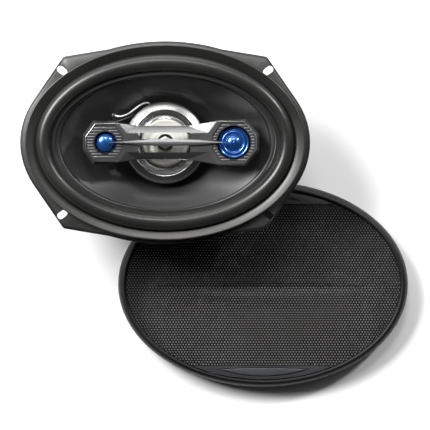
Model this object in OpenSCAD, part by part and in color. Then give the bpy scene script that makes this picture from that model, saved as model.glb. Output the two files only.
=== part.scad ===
// Coaxial car speaker, 6 x 9 inch oval, four-way, with its separate grille.
// Origin: centre of the flange's rear face. +Z is the way the speaker faces,
// +X is the long axis. The speaker lies on its magnet, face up, and the
// grille lies flat beside it, at the level of the magnet's back.

/* [Flange] */
// Half length of the flange's oval
flange_a = 118.5; // [112:0.5:124]
// Half width of the flange's oval
flange_b = 82.8; // [78:0.2:87]
// Thickness of the pressed steel
steel_t = 1.4; // [1:0.1:2]
// Half distance between the ear tips, along the length
ear_x = 82.6; // [78:0.2:86]
// Half distance between the ear tips, along the width
ear_y = 70.0; // [66:0.2:74]
// Spacing of the screw holes along the length
screw_span_x = 171; // [165:0.5:175]
// Spacing of the screw holes along the width
screw_span_y = 119.6; // [114:0.2:122]
// Diameter of a screw hole
screw_d = 5.6; // [4.6:0.1:6]
// How far the relief slot runs from the screw hole's centre
slot_run = 3.6; // [2.5:0.1:4.2]
// Thickness of the foam gasket behind the flange
foam_t = 2.4; // [1.5:0.1:4]

/* [Trim ring] */
// Half length of the trim ring's outside
rim_a = 114.4; // [110:0.2:116]
// Half width of the trim ring's outside
rim_b = 79.6; // [76:0.2:81]
// Half length of the trim ring's inside
rim_in_a = 106.2; // [103:0.2:108]
// Half width of the trim ring's inside
rim_in_b = 72.8; // [70:0.2:74]
// Height of the trim ring over the flange
rim_h = 4.6; // [3:0.2:7]

/* [Cone and surround] */
// Half length of the cone's edge
cone_a = 94; // [88:0.5:96]
// Half width of the cone's edge
cone_b = 59; // [55:0.5:62]
// Depth of the cone from its edge to its neck
cone_depth = 32; // [28:0.5:36]
// Thickness of the paper cone
cone_t = 0.9; // [0.6:0.1:1.4]
// Height of the surround's roll
roll_h = 6.4; // [4.5:0.1:8]
// Thickness of the rubber
rubber_t = 1; // [0.7:0.1:1.5]
// Travel of the cone each way
cone_travel = 4; // [2:0.5:5]

/* [Motor] */
// Radius of the voice coil former
coil_r = 19; // [17:0.5:20]
// Radius of the ferrite magnet
magnet_r = 43; // [40:0.5:44]
// Thickness of the ferrite magnet
magnet_h = 17; // [14:0.5:20]
// Thickness of the front plate
plate_h = 5; // [4:0.5:6]
// Thickness of the rear plate
yoke_h = 6; // [5:0.5:8]
// Distance from the flange's rear face to the basket's seat
seat_depth = 50; // [48:0.5:54]
// Wall of the rubber boot over the magnet
boot_t = 1.8; // [1.2:0.1:2.5]
// Radius of the centre post
post_r = 3; // [2.5:0.1:3.5]

/* [Midrange] */
// Radius of the midrange's frame
mid_r = 33.4; // [31:0.2:34]
// Radius of the frame's crest
mid_crest_r = 27.2; // [26:0.2:28]
// Radius of the frame's opening
mid_open_r = 21; // [20:0.2:22]
// Height of the frame's crest above the flange's rear face
mid_crest_z = -3.6; // [-5:0.2:-3]

/* [Bridge] */
// Height of the bridge's front above the flange's rear face
bridge_z = 15.4; // [14:0.2:17]
// Centre of the tweeter, along the length
tweeter_x = 55.8; // [53:0.2:58]
// Centre of the super tweeter, along the length
super_x = -48.6; // [-52:0.2:-46]
// Radius of the tweeter's opening
tweeter_r = 14; // [12:0.2:15]
// Radius of the super tweeter's opening
super_r = 9.4; // [8:0.2:11]
// Half width of the tweeter's head
head_r = 17.8; // [17:0.2:19]
// Half width of the super tweeter's head
super_head_r = 16.6; // [15.6:0.2:18]
// Width of the window between the rails
window_w = 16.4; // [14:0.2:18]
// Length of the window between the rails
window_l = 42; // [38:0.5:46]

/* [Grille] */
// Half length of the grille
grille_a = 122; // [118:0.5:126]
// Half width of the grille
grille_b = 86.4; // [84:0.2:90]
// Height of the grille
grille_h = 23; // [21:0.5:26]
// Where the grille's centre lies, along the length
grille_x = 82; // [78:0.5:110]
// Where the grille's centre lies, along the width
grille_y = -119; // [-160:0.5:-117]
// Half distance between the bars that close the mesh
bar_y = 68; // [64:0.5:72]

/* [Clearances] */
// Gap between pieces that move past each other
slide_gap = 0.6; // [0.4:0.05:0.8]
// Gap between pieces that are glued or pressed together
glue_gap = 0.1; // [0.05:0.01:0.15]

/* [Hidden] */
$fn = 96;
N = 72;                                   // sides of an oval
seat_z = -seat_depth;
plate_z = seat_z - plate_h;               // rear of the front plate
magnet_z = plate_z - magnet_h;            // rear of the magnet
yoke_z = magnet_z - yoke_h;               // rear of the yoke
floor_z = yoke_z - boot_t;                // rear of the boot
former_w = 0.4;
wind_w = 0.6;
coil_out = coil_r + former_w + wind_w;
pole_r = coil_r - slide_gap;
gap_r = coil_out + slide_gap;
edge_z = steel_t + 1;                     // level of the cone's edge
neck_z = edge_z - cone_depth;
eyelet_a = [-42, 22, edge_z - 0.54375 * cone_depth];   // on the cone, silver lead
eyelet_b = [-45, 16, edge_z - 0.5625 * cone_depth];    // on the cone, black lead
spider_z = -40;
spider_r = 40;
mid_back = -22;                           // rear of the midrange's basket
mid_t = 1.4;
mid_slope = [[mid_r, -9.4], [mid_r - 1.2, -7.2], [mid_r - 3.4, -4.9],
             [mid_crest_r, mid_crest_z], [mid_crest_r - 3, mid_crest_z - 0.9],
             [mid_open_r + 1, mid_crest_z - 3.4]];
head_x = tweeter_x + 0.4;
super_head_x = super_x + 0.6;
bridge_low = 4.2;                         // underside of the heads
rail_top = bridge_z - 2.6;
bridge_seat = rail_top - 6;
rail_w = 6.6;
rib_z = bridge_z + 0.6;                   // underside of the long rib
term_y = -66;                             // plane of the basket's terminal bracket
cup_h = 9;                                // depth of a tweeter's cup

// Points of an oval, or of the part of it from angle p to angle q
function oval(a, b, p = 0, q = 360, n = N) =
    [for (i = [0 : (q - p == 360 ? n - 1 : n)])
        let (w = p + (q - p) * i / n) [a * cos(w), b * sin(w)]];

function mix(p, q, t) = p + (q - p) * t;

// Solid band whose cross-section is the loop of rows [half length, half width, z],
// listed outer side upward, then inner side downward
module oval_band(rows, n = N) {
    m = len(rows);
    polyhedron(
        points = [for (r = rows, i = [0 : n - 1])
            [r[0] * cos(360 * i / n), r[1] * sin(360 * i / n), r[2]]],
        faces = [for (j = [0 : m - 1], i = [0 : n - 1])
            let (k = (j + 1) % m, h = (i + 1) % n)
            each [[j * n + i, k * n + i, k * n + h], [j * n + i, k * n + h, j * n + h]]],
        convexity = 6);
}

// Shell that follows a top profile of rows, t thick downward
module oval_shell(rows, t, n = N) {
    m = len(rows);
    oval_band(concat([for (i = [m - 1 : -1 : 0]) [rows[i][0], rows[i][1], rows[i][2] - t]], rows), n);
}

// Round tube swept along a path of points
module tube(path, r, sides = 8) {
    n = len(path);
    function dir(i) = let (d = path[min(i + 1, n - 1)] - path[max(i - 1, 0)]) d / norm(d);
    function side(i) = let (c = cross(dir(i), [0, 0, 1])) c / norm(c);
    polyhedron(
        points = [for (i = [0 : n - 1], k = [0 : sides - 1])
            path[i] + r * (cos(360 * k / sides) * side(i)
                         + sin(360 * k / sides) * cross(side(i), dir(i)))],
        faces = concat(
            [for (i = [0 : n - 2], k = [0 : sides - 1])
                let (a = i * sides + k, b = i * sides + (k + 1) % sides)
                each [[a, a + sides, b + sides], [a, b + sides, b]]],
            [[for (k = [0 : sides - 1]) k]],
            [[for (k = [sides - 1 : -1 : 0]) (n - 1) * sides + k]]));
}

// Smooth path through hand-placed points, s steps between neighbours
function bend(p, s = 6) = concat(
    [for (i = [0 : len(p) - 2], k = [0 : s - 1])
        let (a = p[max(i - 1, 0)], b = p[i], c = p[i + 1], d = p[min(i + 2, len(p) - 1)], t = k / s)
        0.5 * (2 * b + (c - a) * t + (2 * a - 5 * b + 4 * c - d) * t * t
               + (3 * b - a - 3 * c + d) * t * t * t)],
    [p[len(p) - 1]]);

module ring(r, bore, h, z) {
    translate([0, 0, z]) difference() {
        cylinder(r = r, h = h);
        translate([0, 0, -1]) cylinder(r = bore, h = h + 2);
    }
}

// --- frame ---------------------------------------------------------------

// Flange outline: the oval with a straight-sided ear at each corner
module flange_outline(inset = 0) {
    polygon(oval(flange_a - inset, flange_b - inset));
    for (sx = [-1, 1], sy = [-1, 1]) scale([sx, sy])
        polygon([[20, 20], [107.5 - inset, 34.6 - inset], [ear_x + 1.6 - inset, ear_y - 1.2 - inset],
                 [ear_x + 0.6 - inset, ear_y - inset], [ear_x - 1.6 - inset, ear_y + 0.6 - inset],
                 [46 - inset, 76.2 - inset]]);
}

module screw_slots() {
    for (sx = [-1, 1], sy = [-1, 1])
        translate([sx * screw_span_x / 2, sy * screw_span_y / 2, -5]) {
            cylinder(d = screw_d, h = 12);
            rotate([0, 0, atan2(-sy * 0.6, -sx * 0.8)]) {
                translate([0, -screw_d / 3, 0]) cube([slot_run, screw_d * 2 / 3, 12]);
                translate([slot_run, 0, 0]) cylinder(d = screw_d * 2 / 3, h = 12);
            }
        }
}

// Rows of the basket's bowl, inner face, from the flange down to the seat
bowl = [[105.4, 71.8, 0.6], [103, 69.6, -7], [84, 61, -22], [58, 51.5, -38.5],
        [48, 47, spider_z - 0.8], [37, 37, spider_z - 0.8], [36, 36, seat_z + steel_t]];

module basket() color("#3a3a3a") {
    difference() {
        linear_extrude(steel_t) difference() {
            flange_outline();
            polygon(oval(104, 70.6));
        }
        screw_slots();
    }
    difference() {
        oval_band(concat(
            [for (i = [len(bowl) - 1 : -1 : 0])
                [bowl[i][0] + steel_t, bowl[i][1] + steel_t, bowl[i][2] - (i > 2 ? steel_t : 0.2)]],
            bowl));
        for (i = [0 : 7]) translate([0, 0, -46])
            linear_extrude(36) polygon(concat(
                oval(97, 67.5, i * 45 + 9, i * 45 + 36, 8),
                oval(62, 54.5, i * 45 + 36, i * 45 + 9, 8)));
        translate([-11, -90, -31]) cube([22, 40, 13]);
    }
    translate([-15, term_y - steel_t, -34]) difference() {
        cube([30, steel_t, 20]);
        translate([4, -1, 3]) cube([22, 4, 13]);
    }
    translate([0, 0, seat_z]) difference() {
        cylinder(r = 38, h = steel_t);
        translate([0, 0, -1]) cylinder(r = gap_r + 2, h = 4);
        for (i = [0 : 3]) rotate([0, 0, 45 + 90 * i])
            translate([30, 0, -1]) cylinder(d = 4.2, h = 4);
    }
}

module flange_gasket() color("#121212")
    translate([0, 0, -foam_t]) linear_extrude(foam_t) difference() {
        polygon(oval(112.5, 78.4));
        polygon(oval(107.8, 74.2));
    }

module trim_ring() color("#454545") {
    z = steel_t;
    oval_band([[rim_a, rim_b, z], [rim_a, rim_b, z + rim_h - 1.6], [rim_a - 1.2, rim_b - 1, z + rim_h - 0.5],
        [rim_a - 3, rim_b - 2.6, z + rim_h], [rim_in_a + 2.4, rim_in_b + 2, z + rim_h - 0.5],
        [rim_in_a + 0.6, rim_in_b + 0.5, z + rim_h - 1.4], [rim_in_a, rim_in_b, z + rim_h - 2.1],
        [rim_in_a, rim_in_b, z + 2.1], [rim_in_a + 3, rim_in_b + 3, z + 2.1], [rim_in_a + 3, rim_in_b + 3, z]]);
}

// --- moving cone ---------------------------------------------------------

roll_in = [cone_a - 0.6, cone_b - 0.6];
roll_out = [rim_in_a - 0.6, rim_in_b - 0.6];

module surround() color("#1c1c1c")
    oval_shell(concat(
        [[cone_a - 3.5, cone_b - 3.5, edge_z + 1.0]],
        [for (w = [0 : 20 : 180])
            [mix(roll_in[0], roll_out[0], (1 - cos(w)) / 2),
             mix(roll_in[1], roll_out[1], (1 - cos(w)) / 2), edge_z + 1 + roll_h * sin(w)]],
        [[rim_in_a, rim_in_b, edge_z + 0.7], [rim_in_a + 2.6, rim_in_b + 2.6, edge_z + 0.2]]), rubber_t - 0.1);

// Rows of the cone's face from its neck to its edge, with a slight flare
function cone_row(t) = [mix(coil_r + former_w + 0.6, cone_a, t), mix(coil_r + former_w + 0.6, cone_b, t),
                        mix(neck_z, edge_z, pow(t, 0.94))];

module cone() color("#161616")
    oval_shell([for (t = [0, 0.2, 0.4, 0.6, 0.8, 0.95, 1])
        cone_row(t) - [0, 0, t == 1 ? 0.1 : 0.4]], cone_t);

module cone_edge_band() color("#202020")
    oval_shell([cone_row(0.89) + [0, 0, 0.3], cone_row(0.9) + [0, 0, 0.9], cone_row(0.94) + [0, 0, 0.7]], 0.5);

module voice_coil_former() color("#b8a070")
    ring(coil_r + former_w, coil_r, neck_z - plate_z + 7.4, plate_z - 8);

module voice_coil() color("#b06a30")
    ring(coil_out, coil_r + former_w + 0.02, plate_h + 7, plate_z - 3.5);

module spider() color("#c8a040")
    oval_shell(concat(
        [[coil_r + former_w + glue_gap, coil_r + former_w + glue_gap, spider_z + 1.4],
         [coil_r + 1.6, coil_r + 1.6, spider_z + 1.4]],
        [for (i = [1 : 12]) let (r = mix(coil_r + 1.6, spider_r - 3.4, i / 12))
            [r, r, spider_z + 1.2 + 1.3 * sin(i * 180 + 90) * (i == 12 ? 0 : 1)]],
        [[spider_r + 2, spider_r + 2, spider_z]]), 0.6, 48);

module cone_eyelets() color("#0c0c0c")
    for (p = [eyelet_a, eyelet_b]) translate(p) {
        cylinder(r1 = 2.6, r2 = 1.6, h = 1.4);
        translate([0, 0, 1.4]) sphere(r = 1.4, $fn = 24);
    }

// --- motor ---------------------------------------------------------------

module front_plate() color("#6a6a6a") difference() {
    ring(magnet_r - 2, gap_r, plate_h, plate_z);
    for (i = [0 : 3]) rotate([0, 0, 45 + 90 * i])
        translate([30, 0, seat_z - 3]) cylinder(d = 4.1, h = 4);
}

module magnet() color("#303236") ring(magnet_r, gap_r + 4, magnet_h, magnet_z);

module yoke() color("#6a6a6a") difference() {
    union() {
        translate([0, 0, yoke_z]) cylinder(r = magnet_r - 2, h = yoke_h);
        translate([0, 0, magnet_z]) cylinder(r = pole_r, h = seat_z - magnet_z);
    }
    translate([0, 0, yoke_z - 1]) cylinder(r = post_r + glue_gap, h = 60);
    translate([0, 0, yoke_z - 1]) cylinder(r = 7, h = 4.5);
}

module magnet_boot() color("#181818") difference() {
    translate([0, 0, floor_z]) cylinder(r = magnet_r + boot_t, h = magnet_z + magnet_h - floor_z + 1.6);
    translate([0, 0, yoke_z]) cylinder(r = magnet_r + glue_gap, h = 60);
    translate([0, 0, floor_z - 1]) cylinder(r = 22, h = 10);
}

module basket_rivets() color("#9a9a9a")
    for (i = [0 : 3]) rotate([0, 0, 45 + 90 * i]) translate([30, 0, 0]) {
        translate([0, 0, seat_z - 2.9]) cylinder(d = 4, h = 2.9 + steel_t);
        translate([0, 0, seat_z + steel_t]) cylinder(d = 6.4, h = 1.2);
    }

// --- terminals and leads -------------------------------------------------

board_y = term_y - steel_t;               // plane of the terminal board's back
module terminal_board() color("#7a3a20")
    translate([-14, board_y - 1.6, -33]) difference() {
        cube([28, 1.6, 18]);
        for (x = [2, 26]) translate([x, 3, 9]) rotate([90, 0, 0]) cylinder(d = 2.3, h = 6);
    }

module tab(x, w) {
    translate([x - w / 2, board_y - 2.4, -31]) cube([w, 0.8, 12]);
    difference() {
        translate([x - w / 2, board_y - 12, -31]) cube([w, 9.8, 0.8]);
        translate([x, board_y - 9, -33]) cylinder(d = 1.6, h = 4);
    }
}

module terminal_positive() color("#d8c070") tab(-7, 6.3);
module terminal_negative() color("#d0d0d0") tab(7, 4.8);

module terminal_rivets() color("#c0c0c0")
    for (x = [-12, 12]) translate([x, board_y, -24]) rotate([90, 0, 0]) {
        translate([0, 0, 1.6]) cylinder(d = 3.4, h = 1);
        cylinder(d = 2.2, h = 2);
    }

module tinsel_leads() color("#a08050") {
    for (s = [-1, 1]) tube(bend([[s * 7, -66.2, -26], [s * 7, -62, -25], [s * 8, -55, -28],
        [s * 9, -48, -31], [s * 9, -41, -29], [s * 9, -36, -24], [s * 9, -34.5, -21]], 4), 0.8);
}

module tweeter_lead() color("#e0e0e0")
    tube(bend([eyelet_a + [1, 0, 2.4], [-37.5, 21.4, -10.5], [-31.5, 22.8, -8],
        [-26, 26.6, -7], [-20, 31, -8], [-15, 32.6, -10.4], [-13, 32, -12]], 4), 0.8);

module tweeter_lead_black() color("#101010")
    tube(bend([eyelet_b + [1, 0, 2.6], [-40, 17, -11.4], [-35, 18.8, -10.4],
        [-30.5, 20.6, -10.4], [-27.5, 22, -12], [-26, 23, -14]], 4), 0.8);

// --- midrange ------------------------------------------------------------

module center_post() color("#b0b0b0")
    translate([0, 0, yoke_z - 0.6]) cylinder(r = post_r, h = rail_top - yoke_z);

module post_nut() color("#a8a8a8") difference() {
    translate([0, 0, yoke_z + 0.4]) cylinder(r = 5.4, h = 3, $fn = 6);
    translate([0, 0, yoke_z - 1]) cylinder(r = post_r + glue_gap, h = 10);
}

module post_spacer() color("#707070") ring(8, post_r + glue_gap, mid_back - 9 - seat_z, seat_z);

module midrange_frame() color("#c4c4c4") rotate_extrude() difference() {
    polygon(concat(mid_slope, [
        [mid_open_r, -7.8], [mid_open_r, -8.8], [13, mid_back + 4], [7.6, mid_back + 3], [7.6, mid_back],
        [14, mid_back], [mid_open_r + 2, -10.4], [mid_open_r + 4.5, -8.6], [mid_crest_r, mid_crest_z - mid_t],
        [mid_r - 3.8, -6.6], [mid_r - 2, -9.4]]));
}

module midrange_lip() color("#f0f0f0") rotate_extrude()
    polygon([[mid_open_r - 0.1, -8.6], [mid_open_r - 0.1, -6.6], [mid_open_r - 0.6, -6],
             [mid_open_r - 1.2, -6.6], [mid_open_r - 1.2, -8.6]]);

module midrange_cone() color("#d8d8cc") rotate_extrude() polygon([
    [19.4, -7.9], [18.6, -7.2], [17.4, -7.9], [12.6, -12.4], [12, -12.2], [11.4, -13], [7.5, -16.4],
    [6.9, -16.4], [6.9, -17], [7.6, -17], [12, -13.2], [17.6, -8.6], [18.6, -7.8], [19.4, -8.4]]);

module midrange_coil() color("#b06a30") ring(7.3, 6.9, 2.6, -19.8 + 0.2);

module midrange_plug() color("#e6e6e6") difference() {
    union() {
        translate([0, 0, mid_back + 3.2]) cylinder(r = 6.2, h = 6.8);
        translate([0, 0, mid_back + 10]) cylinder(r1 = 6.2, r2 = 4.4, h = 3);
        translate([0, 0, mid_back + 13]) cylinder(r = 4.4, h = bridge_seat - mid_back - 13.1);
    }
    translate([0, 0, mid_back]) cylinder(r = post_r + glue_gap, h = 40);
}

module midrange_magnet() color("#404040") difference() {
    translate([0, 0, mid_back - 9]) cylinder(r = 14, h = 9);
    translate([0, 0, mid_back - 10]) cylinder(r = post_r + glue_gap, h = 12);
}

// --- bridge --------------------------------------------------------------

// Octagon of half width r, grown by grow, its long side facing the centre when s is 1
module head_shape(x, r, s, h0, h1, grow) {
    translate([x, 0, h0]) linear_extrude(h1 - h0) scale([s, 1])
        polygon([[r + grow + 1.2, -r * 0.45], [r + grow + 1.2, r * 0.45], [r * 0.62, r + grow], [-r * 0.55, r + grow],
                 [-r - 2, r * 0.62], [-r - 2, -r * 0.62], [-r * 0.55, -r - grow], [r * 0.62, -r - grow]]);
}

module head(x, r, s) {
    head_shape(x, r, s, bridge_low, bridge_low + 4, 1.6);
    head_shape(x, r, s, bridge_low + 4, bridge_z - 3, 0.9);
    head_shape(x, r, s, bridge_z - 3, bridge_z - 1.4, 0.2);
}

module bridge() color("#6e7074") difference() {
    union() {
        head(head_x, head_r, 1);
        head(super_head_x, super_head_r, -1);
        difference() {
            translate([super_head_x + 12, -window_w / 2 - rail_w, bridge_seat])
                cube([head_x - super_head_x - 24, window_w + 2 * rail_w, rail_top - bridge_seat]);
            translate([-window_l / 2 - 0.5, -window_w / 2, bridge_seat - 1]) cube([window_l, window_w, 20]);
        }
        translate([-window_l / 2 - 2, -2.4, bridge_seat]) cube([window_l + 4, 4.8, 2.4]);
        translate([0, 0, bridge_seat]) cylinder(r = 6.4, h = 2.4);
        for (x = [-window_l / 2 - 6, window_l / 2 + 1])
            translate([x, -1.2, rail_top - 1]) cube([4, 2.4, rib_z - rail_top + 1]);
    }
    translate([0, 0, -10]) cylinder(r = post_r + glue_gap, h = 40);
    translate([tweeter_x, 0, 0]) {
        translate([0, 0, bridge_z - 3.2]) cylinder(r = tweeter_r + 2.4, h = 10);
        translate([0, 0, bridge_low - 2]) cylinder(r = tweeter_r + 1, h = 20);
    }
    translate([super_x, 0, 0]) {
        translate([0, 0, bridge_z - 3.2]) cylinder(r = super_r + 3.2, h = 10);
        translate([0, 0, bridge_low - 2]) cylinder(r = super_r + 1, h = 20);
    }
}

module bridge_rib() color("#8a8c90")
    translate([0, 0, rib_z]) linear_extrude(2.2) polygon([[super_x + 1, 0], [-30, 1.4], [-8, 3],
        [8, 3], [34, 1.4], [tweeter_x - 3, 0], [34, -1.4], [8, -3], [-8, -3], [-30, -1.4]]);

module bridge_nut() color("#f4f4f4") difference() {
    union() {
        translate([0, 0, bridge_seat + 2.4]) cylinder(r = 5.2, h = 3, $fn = 6);
        translate([0, 0, bridge_seat + 5.4]) intersection() {
            translate([0, 0, -2]) sphere(r = 4.6, $fn = 48);
            cylinder(r = 5, h = 6);
        }
    }
    translate([0, 0, 0]) cylinder(r = post_r + glue_gap, h = rail_top - 0.4);
}

// Ribbed face round an opening: a flat plate with bars across it
module face(x, r, s, open, pitch) {
    z = bridge_z - 1.4;
    difference() {
        union() {
            head_shape(x[1], r, s, z, z + 0.7, -2.2);
            intersection() {
                head_shape(x[1], r, s, z, z + 1.5, -3.2);
                for (k = [-5 : 5]) translate([x[1] - 30, k * pitch - pitch / 4, z])
                    cube([60, pitch / 2, 3]);
            }
        }
        translate([x[0], 0, z - 1]) cylinder(r = open, h = 6);
    }
    ringed(x[0], open, z);
}

module ringed(x, open, z) translate([x, 0, 0]) ring(open + 1.1, open, 1.9, z);

module tweeter_plate() color("#5c5e62") face([tweeter_x, head_x], head_r, 1, tweeter_r, 2.7);
module super_tweeter_plate() color("#5c5e62") face([super_x, super_head_x], super_head_r, -1, super_r, 2.7);

module cup(x, r) translate([x, 0, 0]) difference() {
    translate([0, 0, bridge_z - cup_h - 2]) cylinder(r = r + 0.8, h = cup_h);
    translate([0, 0, bridge_z - cup_h - 0.8]) cylinder(r = r - 0.4, h = cup_h);
}

module tweeter_cup() color("#202020") cup(tweeter_x, tweeter_r);
module super_tweeter_cup() color("#202020") cup(super_x, super_r);

// Domed diaphragm with a stepped rim
module dome(x, r, base, rise) translate([x, 0, 0]) rotate_extrude() {
    polygon(concat(
        [[0, base - 0.5], [r, base - 0.5], [r, base], [r - 1.2, base + 0.7], [r - 2.6, base + 0.5]],
        [for (w = [10 : 10 : 90]) [(r - 3) * cos(w), base + 0.4 + rise * sin(w)]]));
}

dome_z = bridge_z - 5.4;
module tweeter_dome() color("#2854a0") dome(tweeter_x, tweeter_r - 1.2, dome_z, 4);
module super_tweeter_dome() color("#2050a0") dome(super_x, super_r - 1, dome_z, 4.2);

module tweeter_tip() color("#9ab8e8") translate([tweeter_x, 0, dome_z + 4.4]) {
    cylinder(r1 = 2, r2 = 1.2, h = 1.2);
    translate([0, 0, 1.2]) sphere(r = 1.2, $fn = 24);
}

module small_magnet(x, r) translate([x, 0, bridge_z - cup_h - 0.8]) cylinder(r = r, h = 3);
module tweeter_magnet() color("#505050") small_magnet(tweeter_x, tweeter_r - 4);
module super_tweeter_magnet() color("#505050") small_magnet(super_x, super_r - 3);

module capacitor(x, y, r, l) translate([x, y, bridge_seat - r - 0.2]) rotate([0, 90, 0]) cylinder(r = r, h = l);
module tweeter_capacitor() color("#1c3a8a") capacitor(21, -1, 2.2, 12);
module super_tweeter_capacitor() color("#8a3a1c") capacitor(-26, 1, 2, 9);

// --- grille --------------------------------------------------------------

module at_grille() translate([grille_x, grille_y, floor_z]) children();

module grille_frame() color("#26262a") at_grille() {
    a = grille_a; b = grille_b; h = grille_h;
    oval_band([[a - 1.4, b - 1.4, 0], [a - 0.4, b - 0.4, 1], [a, b, 5], [a - 0.4, b - 0.4, h - 8],
        [a - 2, b - 2, h - 4], [a - 4.6, b - 4.6, h - 1.4], [a - 7, b - 7, h - 1.8],
        [a - 7.4, b - 7.4, h - 3.4], [a - 4.6, b - 4.4, h - 6], [a - 3, b - 3, h - 9],
        [a - 2.6, b - 2.6, 3], [a - 3, b - 3, 0]]);
}

// Height of the mesh's gentle dome at a share t of the way out
function mesh_z(t) = grille_h - 2.8 + 1.2 * (1 - t * t);

module grille_mesh() color("#29272a") at_grille() {
    a = grille_a - 8; b = grille_b - 8;
    intersection() {
        oval_mesh(a, b);
        translate([-a - 2, -bar_y + 0.4, 0]) cube([2 * a + 4, 2 * bar_y - 0.8, 40]);
    }
}

module oval_mesh(a, b) {
    rows = [for (t = [1, 0.75, 0.5, 0.25]) [a * t, b * t, mesh_z(t)]];
    m = len(rows);
    polyhedron(
        points = concat(
            [for (r = rows, i = [0 : N - 1]) [r[0] * cos(360 * i / N), r[1] * sin(360 * i / N), r[2]]],
            [for (r = rows, i = [0 : N - 1]) [r[0] * cos(360 * i / N), r[1] * sin(360 * i / N), r[2] - 0.9]],
            [[0, 0, mesh_z(0)], [0, 0, mesh_z(0) - 0.9]]),
        faces = concat(
            [for (j = [0 : m - 2], i = [0 : N - 1]) let (h = (i + 1) % N)
                each [[j * N + i, (j + 1) * N + i, (j + 1) * N + h], [j * N + i, (j + 1) * N + h, j * N + h]]],
            [for (j = [0 : m - 2], i = [0 : N - 1]) let (h = (i + 1) % N, u = m * N)
                each [[u + j * N + i, u + (j + 1) * N + h, u + (j + 1) * N + i],
                      [u + j * N + i, u + j * N + h, u + (j + 1) * N + h]]],
            [for (i = [0 : N - 1]) let (h = (i + 1) % N, u = m * N)
                each [[i, h, u + h], [i, u + h, u + i]]],
            [for (i = [0 : N - 1]) let (h = (i + 1) % N) [(m - 1) * N + i, 2 * m * N, (m - 1) * N + h]],
            [for (i = [0 : N - 1]) let (h = (i + 1) % N, u = m * N)
                [u + (m - 1) * N + i, u + (m - 1) * N + h, 2 * m * N + 1]]),
        convexity = 4);
}

// The part of the oval beyond a bar, at the top (s = 1) or the bottom (s = -1)
module end_shape(s) {
    intersection() {
        polygon(oval(grille_a - 7.8, grille_b - 7.8));
        translate([-100, s > 0 ? bar_y : -bar_y - 30]) square([200, 30]);
    }
}

module lens(w, h) {
    polygon(concat([for (i = [0 : 12]) [mix(-w, w, i / 12), h * (1 - pow(mix(-1, 1, i / 12), 2))]],
                   [for (i = [12 : -1 : 0]) [mix(-w, w, i / 12), -0.1 - h * 0.2 * (1 - pow(mix(-1, 1, i / 12), 2))]]));
}

module grille_top_panel() color("#2a2a2e") at_grille() difference() {
    translate([0, 0, grille_h - 4.4]) linear_extrude(3) end_shape(1);
    translate([0, bar_y + 2.2, grille_h - 2.6]) linear_extrude(3) lens(32, 6);
}

module grille_bottom_panel() color("#2a2a2e") at_grille() difference() {
    translate([0, 0, grille_h - 4.4]) linear_extrude(3) end_shape(-1);
    translate([0, -bar_y - 2, grille_h - 2.6]) linear_extrude(3) mirror([0, 1]) lens(40, 6.4);
}

module grille_badge() color("#3c3e44") at_grille()
    translate([0, -bar_y - 2.3, grille_h - 2.6]) linear_extrude(1.6) mirror([0, 1]) lens(36, 5.6);

module grille_clips() color("#888888") at_grille()
    for (w = [35, 145, 215, 325]) translate([(grille_a - 3.9) * cos(w), (grille_b - 3.9) * sin(w), 7])
        rotate([0, 0, atan2(grille_a * sin(w), grille_b * cos(w))]) cube([1.2, 9, 9], center = true);

module grille_gasket() color("#151515") at_grille()
    oval_band([[grille_a - 3.3, grille_b - 3.3, 0], [grille_a - 3.3, grille_b - 3.3, 1.8],
        [grille_a - 4.4, grille_b - 4.4, 1.8], [grille_a - 4.4, grille_b - 4.4, 0]], 48);

basket();
flange_gasket();
trim_ring();
surround();
cone();
cone_edge_band();
voice_coil_former();
voice_coil();
spider();
front_plate();
magnet();
yoke();
magnet_boot();
basket_rivets();
terminal_board();
terminal_positive();
terminal_negative();
terminal_rivets();
tinsel_leads();
cone_eyelets();
tweeter_lead();
tweeter_lead_black();
center_post();
post_spacer();
post_nut();
midrange_frame();
midrange_lip();
midrange_cone();
midrange_coil();
midrange_plug();
midrange_magnet();
bridge();
bridge_rib();
bridge_nut();
tweeter_plate();
tweeter_cup();
tweeter_dome();
tweeter_tip();
tweeter_magnet();
tweeter_capacitor();
super_tweeter_plate();
super_tweeter_cup();
super_tweeter_dome();
super_tweeter_magnet();
super_tweeter_capacitor();
grille_frame();
grille_mesh();
grille_top_panel();
grille_bottom_panel();
grille_badge();
grille_clips();
grille_gasket();
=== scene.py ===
# %% [markdown]
# # An oval coaxial car speaker and its grille
#
# The solids of the speaker come from a CAD model that already has the right sizes.
# This notebook gives each visible piece its real shape and its real finish. Small
# inner pieces keep their CAD solid and only get a material.

# %% Load the frame
import math

import bmesh
import bpy
from mathutils import Matrix, Vector


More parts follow.
